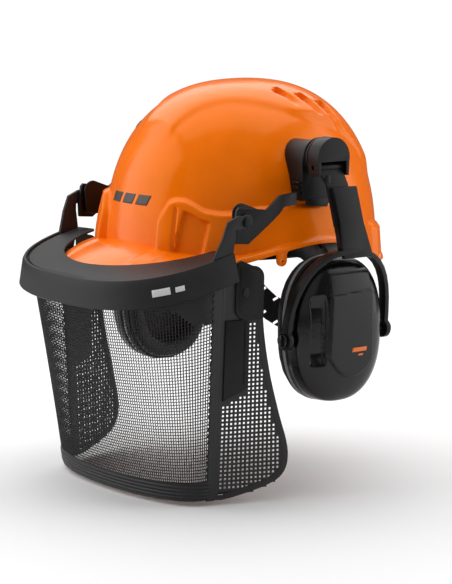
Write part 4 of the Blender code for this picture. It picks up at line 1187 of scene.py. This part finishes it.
    def _net(self) -> None:
        """Weave the front mesh: a grid of strands with open cells."""
        columns, rows = self.net_columns, self.net_rows
        shares = self._even(columns)
        bm = bmesh.new()
        bmesh.ops.create_grid(bm, x_segments=columns, y_segments=rows, size=0.5)
        for vert in bm.verts:
            s = shares[round((vert.co.x + 0.5) * columns)]
            vert.co = Vector(self.net_point(s, vert.co.y + 0.5))
        cells = bm.faces[:]
        bmesh.ops.inset_individual(bm, faces=cells, thickness=self.net_strand, use_even_offset=True)
        open_cells = [face for face in cells if face.calc_center_median().z < self._net_top(face)]
        bmesh.ops.delete(bm, geom=open_cells, context="FACES")
        face_out(bm, Vector((0.0, -0.08, -0.1)))
        net = make_piece("visor_mesh_fine", bm, NET_BLACK, self.body, ["visor_mesh"], angle=80.0)
        add_solidify(net, self.net_stock, 0.0)

    def _net_top(self, face: bmesh.types.BMFace) -> float:
        """Return the height over which a cell of the net is solid: a level edge with rounded corners."""
        middle = face.calc_center_median()
        corner = min(1.0, max(0.0, (abs(middle.x) - 0.092) / 0.016))
        return -0.026 - 0.012 * corner ** 3

    def _hem(self) -> None:
        """Build the ribbed hem along the mesh's lower edge."""

        def strip(s: float, t: float) -> Vector:
            """Return a point on the hem's rounded wrap."""
            turn = 2.0 * math.pi * t
            level = 1.048 - 0.052 * math.cos(turn)
            at = Vector(self.net_point(s, level))
            rib = 1.0 + 0.10 * math.cos(6.0 * turn)
            return at + self._outward(at) * 0.0017 * math.sin(turn) * rib

        bm = grid_surface(110, 28, strip, wrap=True)
        close_ends(bm)
        make_piece("visor_hem_fine", bm, EDGING, self.body, ["visor_hem"], angle=70.0)

    def _outline(self) -> list[tuple[float, float]]:
        """Outline of a side panel in Y and Z.

        Returns:
            Points from the top of the rear edge round the lower corner to the top of the seam.
        """
        points = []
        steps = 43
        for i in range(steps + 1):
            z = mix(self.edge[0][0], self.edge[-1][0], (i / steps) ** 0.9)
            points.append((self._rear_edge(z), z))
        points += [(-0.1005, self.panel_foot), (self.seam_y + 0.002, -0.1880)]
        points += [(self.seam_y + 0.002, mix(-0.1880, self.edge[0][0], i / 12)) for i in range(1, 13)]
        return points

    def _is_open(self, y: float, z: float) -> bool:
        """Tell whether the sheet is punched at a point.

        Args:
            y: The point's y.
            z: The point's z.

        Returns:
            True inside the solid border and clear of the stiffener and the clip plate.
        """
        rear = self._rear_edge(z)
        if z > -0.040 or z < -0.1800 + 0.10 * max(0.0, y + 0.075):
            return False
        slant = (rear - self._rear_edge(z - 0.004)) / 0.004
        border = self.border * (1.0 + 0.35 * abs(slant))
        if y > rear - border or y < self.seam_y + 0.0062:
            return False
        return y > self.stiffener_rear or z < self.stiffener_low - 0.003 + 0.42 * (y + 0.099)

    def _side_panel(self, side: str, sign: float) -> None:
        """Build a punched side panel with its solid border.

        Args:
            side: Name of the side.
            sign: 1 on the wearer's left, -1 on the right.
        """
        pitch = self.punch_pitch
        low_y, high_y, low_z = self.seam_y + 0.004, -0.046, -0.187
        columns = round((high_y - low_y) / pitch)
        rows = round((-0.004 - low_z) / pitch)
        bm = bmesh.new()
        bmesh.ops.create_grid(bm, x_segments=columns, y_segments=rows, size=0.5)
        for vert in bm.verts:
            y = low_y + (vert.co.x + 0.5) * columns * pitch
            z = low_z + (vert.co.y + 0.5) * rows * pitch
            vert.co = Vector((0.0, y, z))
        outside = []
        for face in bm.faces:
            middle = face.calc_center_median()
            below = middle.z < -0.1845 + 0.10 * max(0.0, middle.y + 0.095)
            if middle.y > self._rear_edge(middle.z) - 0.0022 or below:
                outside.append(face)
        bmesh.ops.delete(bm, geom=outside, context="FACES")
        punched = [face for face in bm.faces if self._is_open(*face.calc_center_median().yz)]
        bmesh.ops.inset_individual(bm, faces=punched, thickness=self.punch_rim, use_even_offset=True)
        bmesh.ops.subdivide_edges(bm, edges=list({edge for face in punched for edge in face.edges}), cuts=1,
                                  smooth=1.1, use_grid_fill=False)
        bmesh.ops.delete(bm, geom=[face for face in punched if face.is_valid], context="FACES")
        for vert in bm.verts:
            vert.co.x = self.panel_x(vert.co.y, vert.co.z)
        face_out(bm, Vector((0.0, -0.09, -0.1)))
        panel = make_piece("side_panel_fine_" + side, mirrored(bm, sign), PUNCHED_BLACK, self.body,
                           ["side_panel_" + side], angle=60.0)
        add_solidify(panel, self.panel_stock, 0.0)
        self._border(side, sign)

    def _border(self, side: str, sign: float) -> None:
        """Build the raised solid border round a side panel.

        Args:
            side: Name of the side.
            sign: 1 on the wearer's left, -1 on the right.
        """
        inner_at = Vector((-0.088, -0.110))
        loop = [Vector(point) for point in self._outline()]

        def band(s: float, t: float) -> Vector:
            """Return a point of the border strip, rounded across its width."""
            place = s * (len(loop) - 1)
            index = min(len(loop) - 2, int(place))
            point = loop[index].lerp(loop[index + 1], place - index)
            before = loop[max(0, index - 1)]
            after = loop[min(len(loop) - 1, index + 2)]
            run = (after - before).normalized()
            inward = Vector((run.y, -run.x))
            if inward.dot(inner_at - point) < 0:
                inward = -inward
            turn = 2.0 * math.pi * t
            across = (0.5 - 0.5 * math.cos(turn)) * self.border
            flat = point + inward * across
            lift = 0.00105 * squared_sine(turn, 0.35)
            return Vector((self.panel_x(flat.x, flat.y) + lift, flat.x, flat.y))

        bm = grid_surface(150, 14, band, wrap=True)
        close_ends(bm)
        make_piece("panel_border_" + side, mirrored(bm, sign), PUNCHED_BLACK, self.body, angle=55.0)

    def _seam(self, side: str, sign: float) -> None:
        """Build the sewn edging over the seam, its inner edge cut along the mesh's cells.

        Args:
            side: Name of the side.
            sign: 1 on the wearer's left, -1 on the right.
        """

        def band(s: float, t: float) -> Vector:
            """Return a point of the edging, which wraps round the corner from the panel to the mesh."""
            z = mix(-0.004, self.panel_foot, s)
            notch = 0.0009 * (1.0 if int(s * 66) % 2 else -1.0)
            turn = 2.0 * math.pi * t
            across = mix(self.seam_width, -self.seam_width + notch, 0.5 - 0.5 * math.cos(turn))
            lift = 0.0013 * squared_sine(turn, 0.4)
            if across >= 0.0:
                y = self.seam_y + across
                return Vector((self.panel_x(y, z) + lift, y, z))
            level = min(1.1, max(0.0, (-z - 0.005) / 0.166))
            step = 0.5 + 0.5 * (1.0 + across / 0.165)
            at = Vector(self.net_point(min(1.0, step), level))
            return Vector((at.x, at.y, z)) + self._outward(at, 0.4) * lift

        bm = grid_surface(132, 20, band, wrap=True)
        close_ends(bm)
        make_piece("seam_strip_fine_" + side, mirrored(bm, sign), PUNCHED_BLACK, self.body,
                   ["seam_strip_" + side], angle=60.0)

    def _plate_on_panel(self, outline: list[tuple[float, float]], lift: float,
                        stock: float) -> bmesh.types.BMesh:
        """Plate that follows the side panel's sheet.

        Args:
            outline: Its outline in Y and Z.
            lift: Distance of its inner face from the sheet.
            stock: Its thickness.

        Returns:
            The mesh with rounded outer edges.
        """
        bm = outline_plate(outline, 0.0, stock)
        outer = [edge for edge in sharp_edges(bm, 60.0) if min(v.co.x for v in edge.verts) > stock / 2]
        bevel(bm, outer, stock * 0.45, 3)
        for vert in bm.verts:
            vert.co.x += self.panel_x(vert.co.y, vert.co.z) + lift
        return bm

    def _trim(self, side: str, sign: float) -> None:
        """Build the clip plate and the stiffener on a side panel.

        Args:
            side: Name of the side.
            sign: 1 on the wearer's left, -1 on the right.
        """
        low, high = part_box("clip_plate_left")
        y0, y1, z0, z1 = low.y, high.y, low.z, high.z
        radius = 0.010
        outline = [(y0, z1 + 0.004), (y0 + 0.004, z1 + 0.006), (y1 - radius, z1 + 0.001)]
        outline += arc(y1 - radius, z1 - radius + 0.001, radius, 90.0, 0.0, 8)[1:]
        outline += arc(y1 - 0.003, z0 + 0.003, 0.003, 0.0, -90.0, 4)
        outline += arc(y0 + radius, z0 + radius, radius, -90.0, -180.0, 8)
        plate = self._plate_on_panel(outline, self.plate_gap, 0.0018)
        raised = [(y0 + 0.003, z1 + 0.001), (y1 - 0.005, z1 - 0.004), (y1 - 0.005, z0 + 0.005)]
        raised += arc(y0 + 0.011, z0 + 0.011, 0.008, -90.0, -180.0, 8)
        boss = self._plate_on_panel(raised, 0.0023, 0.0008)
        y, z = -0.086, -0.014
        button = disc(Vector((self.panel_x(y, z) + 0.0028, y, z)), OUTWARDS, 0.0042, 0.0006, 0.0003, 32)
        make_piece("clip_plate_fine_" + side, mirrored(joined([plate, boss, button]), sign), SATIN_BLACK,
                   self.body, ["clip_plate_" + side], angle=35.0)
        low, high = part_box("stiffener_left")
        outline = [(low.y, high.z + 0.002), (high.y, high.z + 0.002)]
        outline += [(high.y, low.z + 0.011), (high.y - 0.002, low.z + 0.0085), (low.y, low.z)]
        strip = self._plate_on_panel(outline, self.plate_gap, 0.0014)
        rib_y0, rib_y1 = high.y - 0.0042, high.y - 0.0026
        rib = self._plate_on_panel([(rib_y0, high.z), (rib_y1, high.z), (rib_y1, low.z + 0.013),
                                    (rib_y0, low.z + 0.0125)], 0.0018, 0.0012)
        make_piece("stiffener_fine_" + side, mirrored(joined([strip, rib]), sign), SATIN_BLACK, self.body,
                   ["stiffener_" + side], angle=35.0)

    def build(self) -> None:
        """Build the whole visor."""
        self._frame()
        self._net()
        self._hem()
        for side, sign in SIDES:
            self._side_panel(side, sign)
            self._seam(side, sign)
            self._trim(side, sign)
            refine("visor_arm_" + side, FRAME_BLACK, 0.0007)


# Visor links and muff mounts -----------------------------------------------------------------------------
@dataclass
class SideMounts:
    """Links, pins, carriers, swivels and tongues at both sides."""

    swivel_y: float = -0.005
    swivel_z: float = 0.092
    collar_radius: float = 0.0158
    ring_radius: float = 0.0160

    def build(self) -> None:
        """Build both sides."""
        for side, sign in SIDES:
            refine("visor_link_" + side, SATIN_BLACK, 0.0006, extra=[self._inner_cheek(sign)])
            refine("visor_pin_" + side, SATIN_BLACK, 0.0003, 2)
            self._carrier(side, sign)
            self._swivel(side, sign)
            refine("muff_tongue_" + side, SATIN_BLACK, 0.0006, extra=[self._tongue_rail(sign)])
            refine("tilt_pin_" + side, STEEL, 0.0003, 2)
            refine("swivel_bolt_" + side, STEEL, 0.0005, 2)

    def _inner_cheek(self, sign: float) -> bmesh.types.BMesh:
        """Second cheek of the visor link, behind the first.

        Args:
            sign: 1 on the wearer's left, -1 on the right.

        Returns:
            The mesh.
        """
        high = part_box("visor_link_left")[1]
        pin = centre("visor_pin_left")
        x = high.x - 0.0065
        outline = arc(pin.y + 0.001, pin.z + 0.006, 0.0085, 60.0, 190.0, 10)
        outline += [(pin.y - 0.006, pin.z - 0.014), (pin.y + 0.012, pin.z - 0.016),
                    (pin.y + 0.030, pin.z + 0.004)]
        bm = outline_plate(outline, x - 0.0018, x)
        bevel(bm, sharp_edges(bm, 50.0), 0.0005, 2)
        bridge_outline = [(pin.y + 0.004, pin.z + 0.009), (pin.y + 0.016, pin.z + 0.0075),
                          (pin.y + 0.016, pin.z + 0.0055), (pin.y + 0.004, pin.z + 0.0070)]
        bridge = outline_plate(bridge_outline, x, high.x - 0.002)
        return mirrored(joined([bm, bridge]), sign)

    def _carrier(self, side: str, sign: float) -> None:
        """Build the muff carrier with its step, collar and ribs.

        Args:
            side: Name of the side.
            sign: 1 on the wearer's left, -1 on the right.
        """
        low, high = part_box("muff_carrier_left")
        at = Vector((high.x - 0.0002, self.swivel_y, self.swivel_z))
        collar = disc(at, OUTWARDS, self.collar_radius, 0.0012, 0.0005, 56)
        ribs = [mirrored(block((0.009, 0.006, 0.0018), (high.x - 0.0055, low.y - 0.0004, 0.0625 + i * 0.0042),
                               0.0005), sign) for i in range(3)]
        foot = outline_plate([(low.y + 0.004, low.z + 0.001), (low.y + 0.006, low.z - 0.0045),
                              (high.y - 0.006, low.z - 0.0065), (high.y - 0.003, low.z + 0.001)],
                             high.x - 0.0022, high.x + 0.0006)
        bevel(foot, sharp_edges(foot, 50.0), 0.0006, 2)
        extra = [mirrored(collar, sign), mirrored(foot, sign), *ribs]
        refine("muff_carrier_" + side, SATIN_BLACK, 0.0030, 5, 50.0, extra)

    def _swivel(self, side: str, sign: float) -> None:
        """Build the swivel hood with its stepped barrel.

        Args:
            side: Name of the side.
            sign: 1 on the wearer's left, -1 on the right.
        """
        at = Vector((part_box("muff_swivel_left")[0].x + 0.0024, self.swivel_y, self.swivel_z))
        ring = disc(at, OUTWARDS, self.ring_radius, 0.0026, 0.0008, 56)
        refine("muff_swivel_" + side, SATIN_BLACK, 0.0016, 5, 40.0, [mirrored(ring, sign)])

    def _tongue_rail(self, sign: float) -> bmesh.types.BMesh:
        """Raised guide rail on the tongue.

        Args:
            sign: 1 on the wearer's left, -1 on the right.

        Returns:
            The mesh.
        """
        at = (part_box("muff_tongue_left")[1].x - 0.0070, self.swivel_y - 0.0085, 0.0735)
        return mirrored(block((0.0018, 0.0045, 0.010), at, 0.0005), sign)


# Ear muffs -----------------------------------------------------------------------------------------------
@dataclass
class EarMuff:
    """One ear muff: sprung yoke, studs, cup with its cover, ring, cushion and inner foam."""

    side: str
    sign: float
    power: float = 2.4
    recess: float = 0.0050
    cover_rise: float = 0.0026
    cover_y: tuple[float, float] = (-0.0225, 0.0290)
    cover_z: tuple[float, float] = (-0.0930, 0.0015)
    cover_stock: float = 0.0010
    channel_z: tuple[float, float] = (-0.074, -0.024)
    cup_stock: float = 0.0020
    ring_width: float = 0.013
    cushion_width: float = 0.0165
    piping_width: float = 0.0022
    flange_half: float = 0.0008
    spring: Inflation = field(default_factory=lambda: Inflation(voxel=0.0035, pressure=3.0, cap=0.0022))

    def __post_init__(self) -> None:
        """Read the cup's place from the frame."""
        low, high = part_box("cup_shell_left")
        self.rim_x = low.x
        self.depth = high.x - low.x
        self.mid_z = (low.z + high.z) / 2
        self.half_y = (high.y - low.y) / 2
        self.half_z = (high.z - low.z) / 2
        self.body = "cup_" + self.side

    def _cup_x(self, y: float, z: float) -> float:
        """Return the x of the cup's outer face over a point in Y and Z."""
        across, along = abs(y / self.half_y), abs((z - self.mid_z) / self.half_z)
        k = (across ** self.power + along ** self.power) ** (1 / self.power)
        bulge = max(0.0, 1.0 - min(1.0, k) ** 3.4) ** (1.0 / 2.1)
        return self.rim_x + self.depth * (0.38 * min(1.0, bulge * 4.0) + 0.62 * bulge)

    def _recess(self, y: float, z: float) -> float:
        """Return the depth of the dark channel along the cup's front."""
        middle = -0.0285 - 0.004 * ((z + 0.045) / 0.05) ** 2
        across = window(y, middle - 0.0062, middle + 0.0070, 0.0035)
        return self.recess * across * window(z, *self.channel_z, 0.012)

    def _cover_share(self, y: float, z: float) -> float:
        """Return 1 on the raised cover panel and 0 beside it."""
        left = -0.0185 - 0.0030 * smooth((z + 0.010) / -0.08)
        right = 0.0270
        low = -0.0905 + 0.0160 * abs((y - 0.004) / 0.0230) ** 2.2
        across = smooth((y - left) / 0.0022 + 0.5) * smooth((right - y) / 0.004 + 0.5)
        return across * smooth((z - low) / 0.0024 + 0.5)

    def _shell(self) -> None:
        """Build the cup's shell."""

        def face(s: float, t: float) -> Vector:
            """Return a point of the cup's outer face."""
            reach = 1.0 - t ** 1.35
            y, z = superellipse(self.half_y * reach, self.half_z * reach, self.power, 360.0 * s)
            z += self.mid_z
            x = self._cup_x(y, z) - self._recess(y, z) if t > 0.001 else self.rim_x
            return Vector((x, y, z))

        bm = grid_surface(168, 70, face, wrap=True)
        face_out(bm, Vector((self.rim_x - 0.01, 0.0, self.mid_z)))
        cup = make_piece("cup_shell_fine_" + self.side, mirrored(bm, self.sign), GLOSS_BLACK, self.body,
                         ["cup_shell_" + self.side], angle=55.0)
        add_solidify(cup, self.cup_stock)

    def _cover(self) -> None:
        """Build the cup's raised cover, whose flat lower part meets the rounded top along a crease."""

        def face(s: float, t: float) -> Vector:
            """Return a point of the cover's outer face."""
            y = mix(*self.cover_y, s)
            z = mix(*self.cover_z, t)
            share = self._cover_share(y, z)
            base = self._cup_x(y, z)
            crease = -0.0190 - 0.0016 * smooth((0.02 - y) / 0.04)
            flat = mix(base, self.rim_x + self.depth + 0.0002, 0.55 * smooth((crease - z) / 0.0015 + 0.5))
            groove = 0.0008 * window(z, crease - 0.0004, crease + 0.0008, 0.0008)
            top = smooth((self.cover_z[1] - z) / 0.006)
            return Vector((mix(base - 0.0012, flat + self.cover_rise - groove, share * top), y, z))

        bm = grid_surface(72, 110, face)
        face_out(bm, Vector((self.rim_x - 0.05, 0.0, self.mid_z)))
        cover = make_piece("cup_cover_fine_" + self.side, mirrored(bm, self.sign), CUP_SATIN, self.body,
                           ["cup_cover_" + self.side], angle=50.0)
        add_solidify(cover, self.cover_stock)
        self._cover_mark(face)

    def _cover_mark(self, face: Callable[[float, float], Vector]) -> None:
        """Print one plain bar with a shorter one under it, in place of any lettering.

        Args:
            face: The cover's surface.
        """
        y0, y1 = self.cover_y
        z0, z1 = self.cover_z
        bars = ((0.0020, 0.0175, -0.0690, -0.0655), (0.0085, 0.0135, -0.0725, -0.0710))
        for index, (start, end, low, high) in enumerate(bars):

            def patch(s: float, t: float, start: float = start, end: float = end, low: float = low,
                      high: float = high) -> Vector:
                """Return a point of one printed bar."""
                y = mix(start, end, s) + 0.0008 * t
                z = mix(low, high, t)
                return face((y - y0) / (y1 - y0), (z - z0) / (z1 - z0)) + Vector((0.0003, 0.0, 0.0))

            inside = Vector((self.rim_x - 0.05, 0.0, self.mid_z))
            print_bar(f"cup_mark_{index + 1}_{self.side}", patch, (8, 3), inside, PRINT_ORANGE, self.body,
                      0.0004, self.sign)

    def _oval_ring(self, half_y: float, half_z: float, width: float, x0: float, x1: float,
                   power: float, columns: int, rows: int) -> bmesh.types.BMesh:
        """Ring that follows the cup's outline, with a rounded section.

        Args:
            half_y: Outer half size along Y.
            half_z: Outer half size along Z.
            width: Width of the ring.
            x0: Inner face.
            x1: Outer face.
            power: How square the section is.
            columns: Cells round the ring.
            rows: Cells round the section.

        Returns:
            The closed mesh.
        """

        def skin(s: float, t: float) -> Vector:
            """Return a point of the ring's skin."""
            across, deep = superellipse(width / 2, (x1 - x0) / 2, power, 360.0 * t)
            out = across - width / 2
            y, z = superellipse(half_y + out, half_z + out, self.power, 360.0 * s)
            return Vector(((x0 + x1) / 2 + deep, y, self.mid_z + z))

        bm = grid_surface(columns, rows, skin, wrap=True)
        bmesh.ops.recalc_face_normals(bm, faces=bm.faces)
        return bm

    def _ring(self) -> None:
        """Build the grey ring between the cup and its cushion."""
        low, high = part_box("cup_ring_left")
        bm = self._oval_ring(self.half_y + 0.0004, self.half_z + 0.0004, self.ring_width, low.x,
                             high.x, 5.0, 120, 24)
        make_piece("cup_ring_fine_" + self.side, mirrored(bm, self.sign), RING_GREY, self.body,
                   ["cup_ring_" + self.side], angle=50.0)

    def _cushion(self) -> None:
        """Build the foam-filled cushion and swell it by simulation, then sew its seam."""
        low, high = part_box("cushion_left")
        bm = self._oval_ring(self.half_y - 0.0012, self.half_z - 0.0012, self.cushion_width, low.x + 0.0012,
                             high.x - 0.0006, 2.8, 96, 20)
        name = "cushion_fine_" + self.side
        cushion = make_piece(name, mirrored(bm, self.sign), HIDE_BLACK, self.body, ride=False)
        self.spring.run(cushion)
        settle(cushion, self.body, ["cushion_" + self.side])
        piping = self._oval_ring(self.half_y - 0.0002, self.half_z - 0.0002, self.piping_width,
                                 high.x - 0.0034, high.x - 0.0012, 2.0, 120, 10)
        make_piece("cushion_piping_" + self.side, mirrored(piping, self.sign), HIDE_BLACK, self.body,
                   angle=60.0)

    def _foam(self) -> None:
        """Build the foam liner inside the cup."""
        low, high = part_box("cup_foam_left")

        def face(s: float, t: float) -> Vector:
            """Return a point of the liner's skin, dished towards the ear."""
            reach = math.sin(math.pi * t)
            y, z = superellipse((high.y - low.y) / 2 * reach ** 0.5, (high.z - low.z) / 2 * reach ** 0.5,
                                self.power, 360.0 * s)
            dish = 0.004 * (1.0 - reach) if t < 0.5 else 0.0
            return Vector((mix(low.x, high.x, smooth(t)) + dish, y, self.mid_z + z))

        bm = grid_surface(48, 24, face, wrap=True)
        close_ends(bm)
        foam = make_piece("cup_foam_fine_" + self.side, mirrored(bm, self.sign), FOAM_DARK, self.body,
                          ["cup_foam_" + self.side], angle=80.0)

    def _yoke(self) -> None:
        """Build the yoke: a broad sprung arm with folded edges, and the bow round the cup."""
        flanges = [self._arm_flange(-1.0), self._arm_flange(1.0)]
        refine("yoke_" + self.side, SATIN_BLACK, 0.0009, 3, 30.0, flanges)
        for end in ("front", "rear"):
            refine(f"cup_stud_{end}_{self.side}", GLOSS_BLACK, 0.0005, 3, 40.0)

    def _arm_flange(self, end: float) -> bmesh.types.BMesh:
        """Folded edge along one side of the arm.

        Args:
            end: -1 for the front edge, 1 for the rear edge.

        Returns:
            The mesh.
        """
        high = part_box("yoke_left")[1]
        top_z, low_z = high.z - 0.001, 0.012
        x_top, x_low = high.x - 0.0121, high.x - 0.0036
        y_top, y_low = -0.0005 + end * 0.0116, 0.0078 + end * 0.0146
        half = self.flange_half
        bm = outline_plate([(y_top - half, top_z), (y_top + half, top_z), (y_low + half, low_z),
                            (y_low - half, low_z)], 0.0, 0.0050)
        for vert in bm.verts:
            down = (top_z - vert.co.z) / (top_z - low_z)
            vert.co.x += mix(x_top, x_low, down) - 0.0042
        bevel(bm, sharp_edges(bm, 50.0), 0.0004, 2)
        return mirrored(bm, self.sign)

    def build(self) -> None:
        """Build the whole muff."""
        self._shell()
        self._cover()
        self._ring()
        self._cushion()
        self._foam()
        self._yoke()


# Harness -------------------------------------------------------------------------------------------------
@dataclass
class Harness:
    """Headband, nape strap with its ratchet, cradle straps, clips and pads."""

    half_width: float = 0.080
    half_length: float = 0.101
    nape_from: float = 85.0
    nape_level: float = 150.0
    nape_drop: float = 0.091
    band_z: float = 0.018
    slot_angles: tuple[float, ...] = (104.0, 112.0, 120.0, 127.0, 134.0, 141.0)
    slot_levels: tuple[float, float] = (-0.011, 0.011)
    slot_size: tuple[float, float, float] = (0.010, 0.0055, 0.0022)
    slot_slant: float = -0.6
    grips: int = 12
    grip_depth: float = 0.055

    def _nape_share(self, u: float) -> float:
        """Return how far the nape strap has come down at an angle."""
        return smooth((from_front(u) - self.nape_from) / (self.nape_level - self.nape_from))

    def _pad(self, node: str, start: float, end: float, offset: float, stock: float, height: float,
             falls: bool) -> None:
        """Build a sewn foam pad on the headband's inner side and swell it.

        Args:
            node: The CAD node that it stands for.
            start: First angle.
            end: Last angle.
            offset: Its outer face, measured outwards from the headband's outer face.
            stock: Its thickness.
            height: Its height.
            falls: True where it follows the nape strap down.
        """

        def skin(s: float, t: float) -> Vector:
            """Return a point of the pad's skin."""
            u = mix(start, end, s)
            thin, tall = superellipse(stock / 2, height / 2, 3.0, 360.0 * t)
            taper = min(1.0, math.sin(math.pi * min(1.0, max(0.0, s))) * 3.5) ** 0.5
            x, y = superellipse(self.half_width + offset - stock / 2 + thin * taper,
                                self.half_length + offset - stock / 2 + thin * taper, 2.0, u)
            z = self.band_z - (self.nape_drop * self._nape_share(u) if falls else 0.0)
            return Vector((x, y, z + tall * max(0.55, taper)))

        bm = grid_surface(60, 18, skin, wrap=True)
        close_ends(bm)
        pad = make_piece(node + "_fine", bm, FOAM_DARK, "root", ride=False)
        Inflation(voxel=0.003, pressure=2.0, cap=0.0008).run(pad)
        settle(pad, "root", [node])

    def _slotted_strap(self) -> None:
        """Round the nape strap's edges and cut its row of adjusting slots."""
        bm = copy_mesh("nape_strap")
        bevel(bm, sharp_edges(bm, 50.0), 0.0004, 2)
        strap = make_piece("nape_strap_fine", bm, SATIN_BLACK, "root", ride=False)
        cutters = []
        for u in self.slot_angles:
            for sign in (1.0, -1.0):
                for level in self.slot_levels:
                    x, y = superellipse(self.half_width + 0.001, self.half_length + 0.001, 2.0, sign * u)
                    z = self.band_z - self.nape_drop * self._nape_share(u) + level
                    slot = bmesh.new()
                    bmesh.ops.create_cube(slot, size=1.0)
                    bmesh.ops.scale(slot, vec=self.slot_size, verts=slot.verts)
                    turn = Matrix.Rotation(math.atan2(y, x), 4, "Z")
                    turn = turn @ Matrix.Rotation(self.slot_slant, 4, "X")
                    turn.translation = (x, y, z)
                    bmesh.ops.transform(slot, matrix=turn, verts=slot.verts)
                    cutters.append(slot)
        cut(strap, make_helper("nape_slots", joined(cutters)))
        settle(strap, "root", ["nape_strap"])

    def _ratchet_knob(self) -> None:
        """Build the nape ratchet's knob with its finger grips."""
        low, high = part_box("nape_ratchet_knob")
        radius = (high.x - low.x) / 2
        bm = bmesh.new()
        bmesh.ops.create_cone(bm, cap_ends=True, segments=96, radius1=radius, radius2=radius - 0.0006,
                              depth=high.y - low.y)
        for vert in bm.verts:
            angle = math.atan2(vert.co.y, vert.co.x)
            grip = 1.0 - self.grip_depth * max(0.0, math.cos(self.grips * angle)) ** 2
            vert.co.x *= grip
            vert.co.y *= grip
        bevel(bm, sharp_edges(bm, 60.0), 0.0012, 3)
        bmesh.ops.rotate(bm, matrix=Matrix.Rotation(-math.pi / 2, 3, "X"), verts=bm.verts)
        bmesh.ops.translate(bm, vec=centre("nape_ratchet_knob"), verts=bm.verts)
        make_piece("nape_ratchet_knob_fine", bm, SATIN_BLACK, "ratchet_knob", ["nape_ratchet_knob"],
                   angle=35.0)

    def build(self) -> None:
        """Build the whole harness."""
        refine("headband", SATIN_BLACK, 0.0005, 2, 50.0)
        self._slotted_strap()
        refine("nape_ratchet_housing", SATIN_BLACK, 0.0020, 3, 50.0)
        self._ratchet_knob()
        self._pad("sweatband", -62.0, 62.0, -0.0021, 0.0038, 0.027, False)
        self._pad("nape_pad", 154.0, 206.0, -0.0003, 0.0048, 0.029, True)
        for end in ("front_left", "front_right", "rear_left", "rear_right"):
            refine("hanger_clip_" + end, SATIN_BLACK, 0.0016, 3, 50.0)
        for index in (1, 2):
            refine(f"cradle_strap_{index}", TAPE_BLACK, 0.0003, 2, 50.0)


# Studio --------------------------------------------------------------------------------------------------
@dataclass
class Studio:
    """Pale floor, soft lights and the camera."""

    azimuth: float = 53.0
    elevation: float = 9.0
    distance: float = 1.940
    lens: float = 135.6
    target_z: float = -0.037
    shift_right: float = -0.013
    ambient: float = 0.10
    floor_radius: float = 1.25
    lights: tuple[tuple[str, float, float, float, float, float], ...] = (
        ("top", 233.0, 68.0, 1.75, 2.9, 1.60),
        ("left", -38.0, 22.0, 1.90, 2.0, 1.55),
        ("right", 143.0, 16.0, 1.90, 1.9, 1.30),
        ("front", 50.0, 34.0, 2.60, 3.6, 0.34))

    def build(self) -> None:
        """Build the floor, the lights and the camera."""
        self._camera()
        self._floor()
        self._world()
        for name, azimuth, elevation, distance, size, radiance in self.lights:
            self._area(name, self._towards(azimuth, elevation) * distance, size, radiance)

    @staticmethod
    def _towards(azimuth: float, elevation: float) -> Vector:
        """Return the unit vector at an azimuth from the front over the wearer's left, and an elevation."""
        a, e = math.radians(azimuth), math.radians(elevation)
        return Vector((math.sin(a) * math.cos(e), -math.cos(a) * math.cos(e), math.sin(e)))

    def _camera(self) -> None:
        """Place the camera."""
        back = self._towards(self.azimuth, self.elevation)
        right = self._towards(self.azimuth + 90.0, 0.0)
        target = Vector((0.0, 0.0, self.target_z)) + right * self.shift_right
        data = bpy.data.cameras.new("camera")
        data.lens = self.lens
        data.sensor_width = 36.0
        camera = bpy.data.objects.new("camera", data)
        camera.location = target + back * self.distance
        camera.rotation_euler = (-back).to_track_quat("-Z", "Y").to_euler()
        bpy.context.scene.collection.objects.link(camera)
        bpy.context.scene.camera = camera

    def _floor(self) -> None:
        """Lay the floor under the object's lowest point."""
        low = min(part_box(node)[0].z for node in frame["nodes"])
        bm = bmesh.new()
        bmesh.ops.create_circle(bm, cap_ends=True, segments=64, radius=self.floor_radius)
        bmesh.ops.translate(bm, vec=(0.0, 0.0, low - 0.001), verts=bm.verts)
        mesh = bpy.data.meshes.new("floor")
        bm.to_mesh(mesh)
        bm.free()
        paper = bpy.data.materials.new("paper")
        paper.use_nodes = True
        shader = paper.node_tree.nodes["Principled BSDF"]
        shader.inputs["Base Color"].default_value = (0.86, 0.86, 0.86, 1.0)
        shader.inputs["Roughness"].default_value = 0.9
        mesh.materials.append(paper)
        floor = bpy.data.objects.new("floor", mesh)
        bpy.context.scene.collection.objects.link(floor)

    def _world(self) -> None:
        """Set the even light from all round."""
        world = bpy.data.worlds.new("studio")
        world.use_nodes = True
        nodes = world.node_tree.nodes
        links = world.node_tree.links
        light = nodes["Background"]
        light.inputs["Color"].default_value = (1.0, 1.0, 1.0, 1.0)
        seen = nodes.new("ShaderNodeMapRange")
        seen.inputs["To Min"].default_value = self.ambient
        seen.inputs["To Max"].default_value = 1.05
        links.new(nodes.new("ShaderNodeLightPath").outputs["Is Camera Ray"], seen.inputs["Value"])
        links.new(seen.outputs["Result"], light.inputs["Strength"])
        bpy.context.scene.world = world
        bpy.context.scene.view_settings.view_transform = "Standard"

    def _area(self, name: str, place: Vector, size: float, radiance: float) -> None:
        """Add one soft light that faces the object.

        Args:
            name: Its name.
            place: Where it stands.
            size: Side of its square.
            radiance: How bright its face is.
        """
        data = bpy.data.lights.new(name, "AREA")
        data.shape = "SQUARE"
        data.size = size
        data.energy = 4.0 * size * size * radiance
        light = bpy.data.objects.new(name, data)
        light.location = place
        light.rotation_euler = (-place).to_track_quat("-Z", "Y").to_euler()
        bpy.context.scene.collection.objects.link(light)


def main() -> None:
    """Build every sub-assembly and report it."""
    logging.basicConfig(level=logging.INFO, format="%(name)s: %(message)s")
    Studio().build()
    HelmetShell().build()
    Visor().build()
    SideMounts().build()
    for side, sign in SIDES:
        EarMuff(side, sign).build()
    Harness().build()


if __name__ == "__main__":
    main()
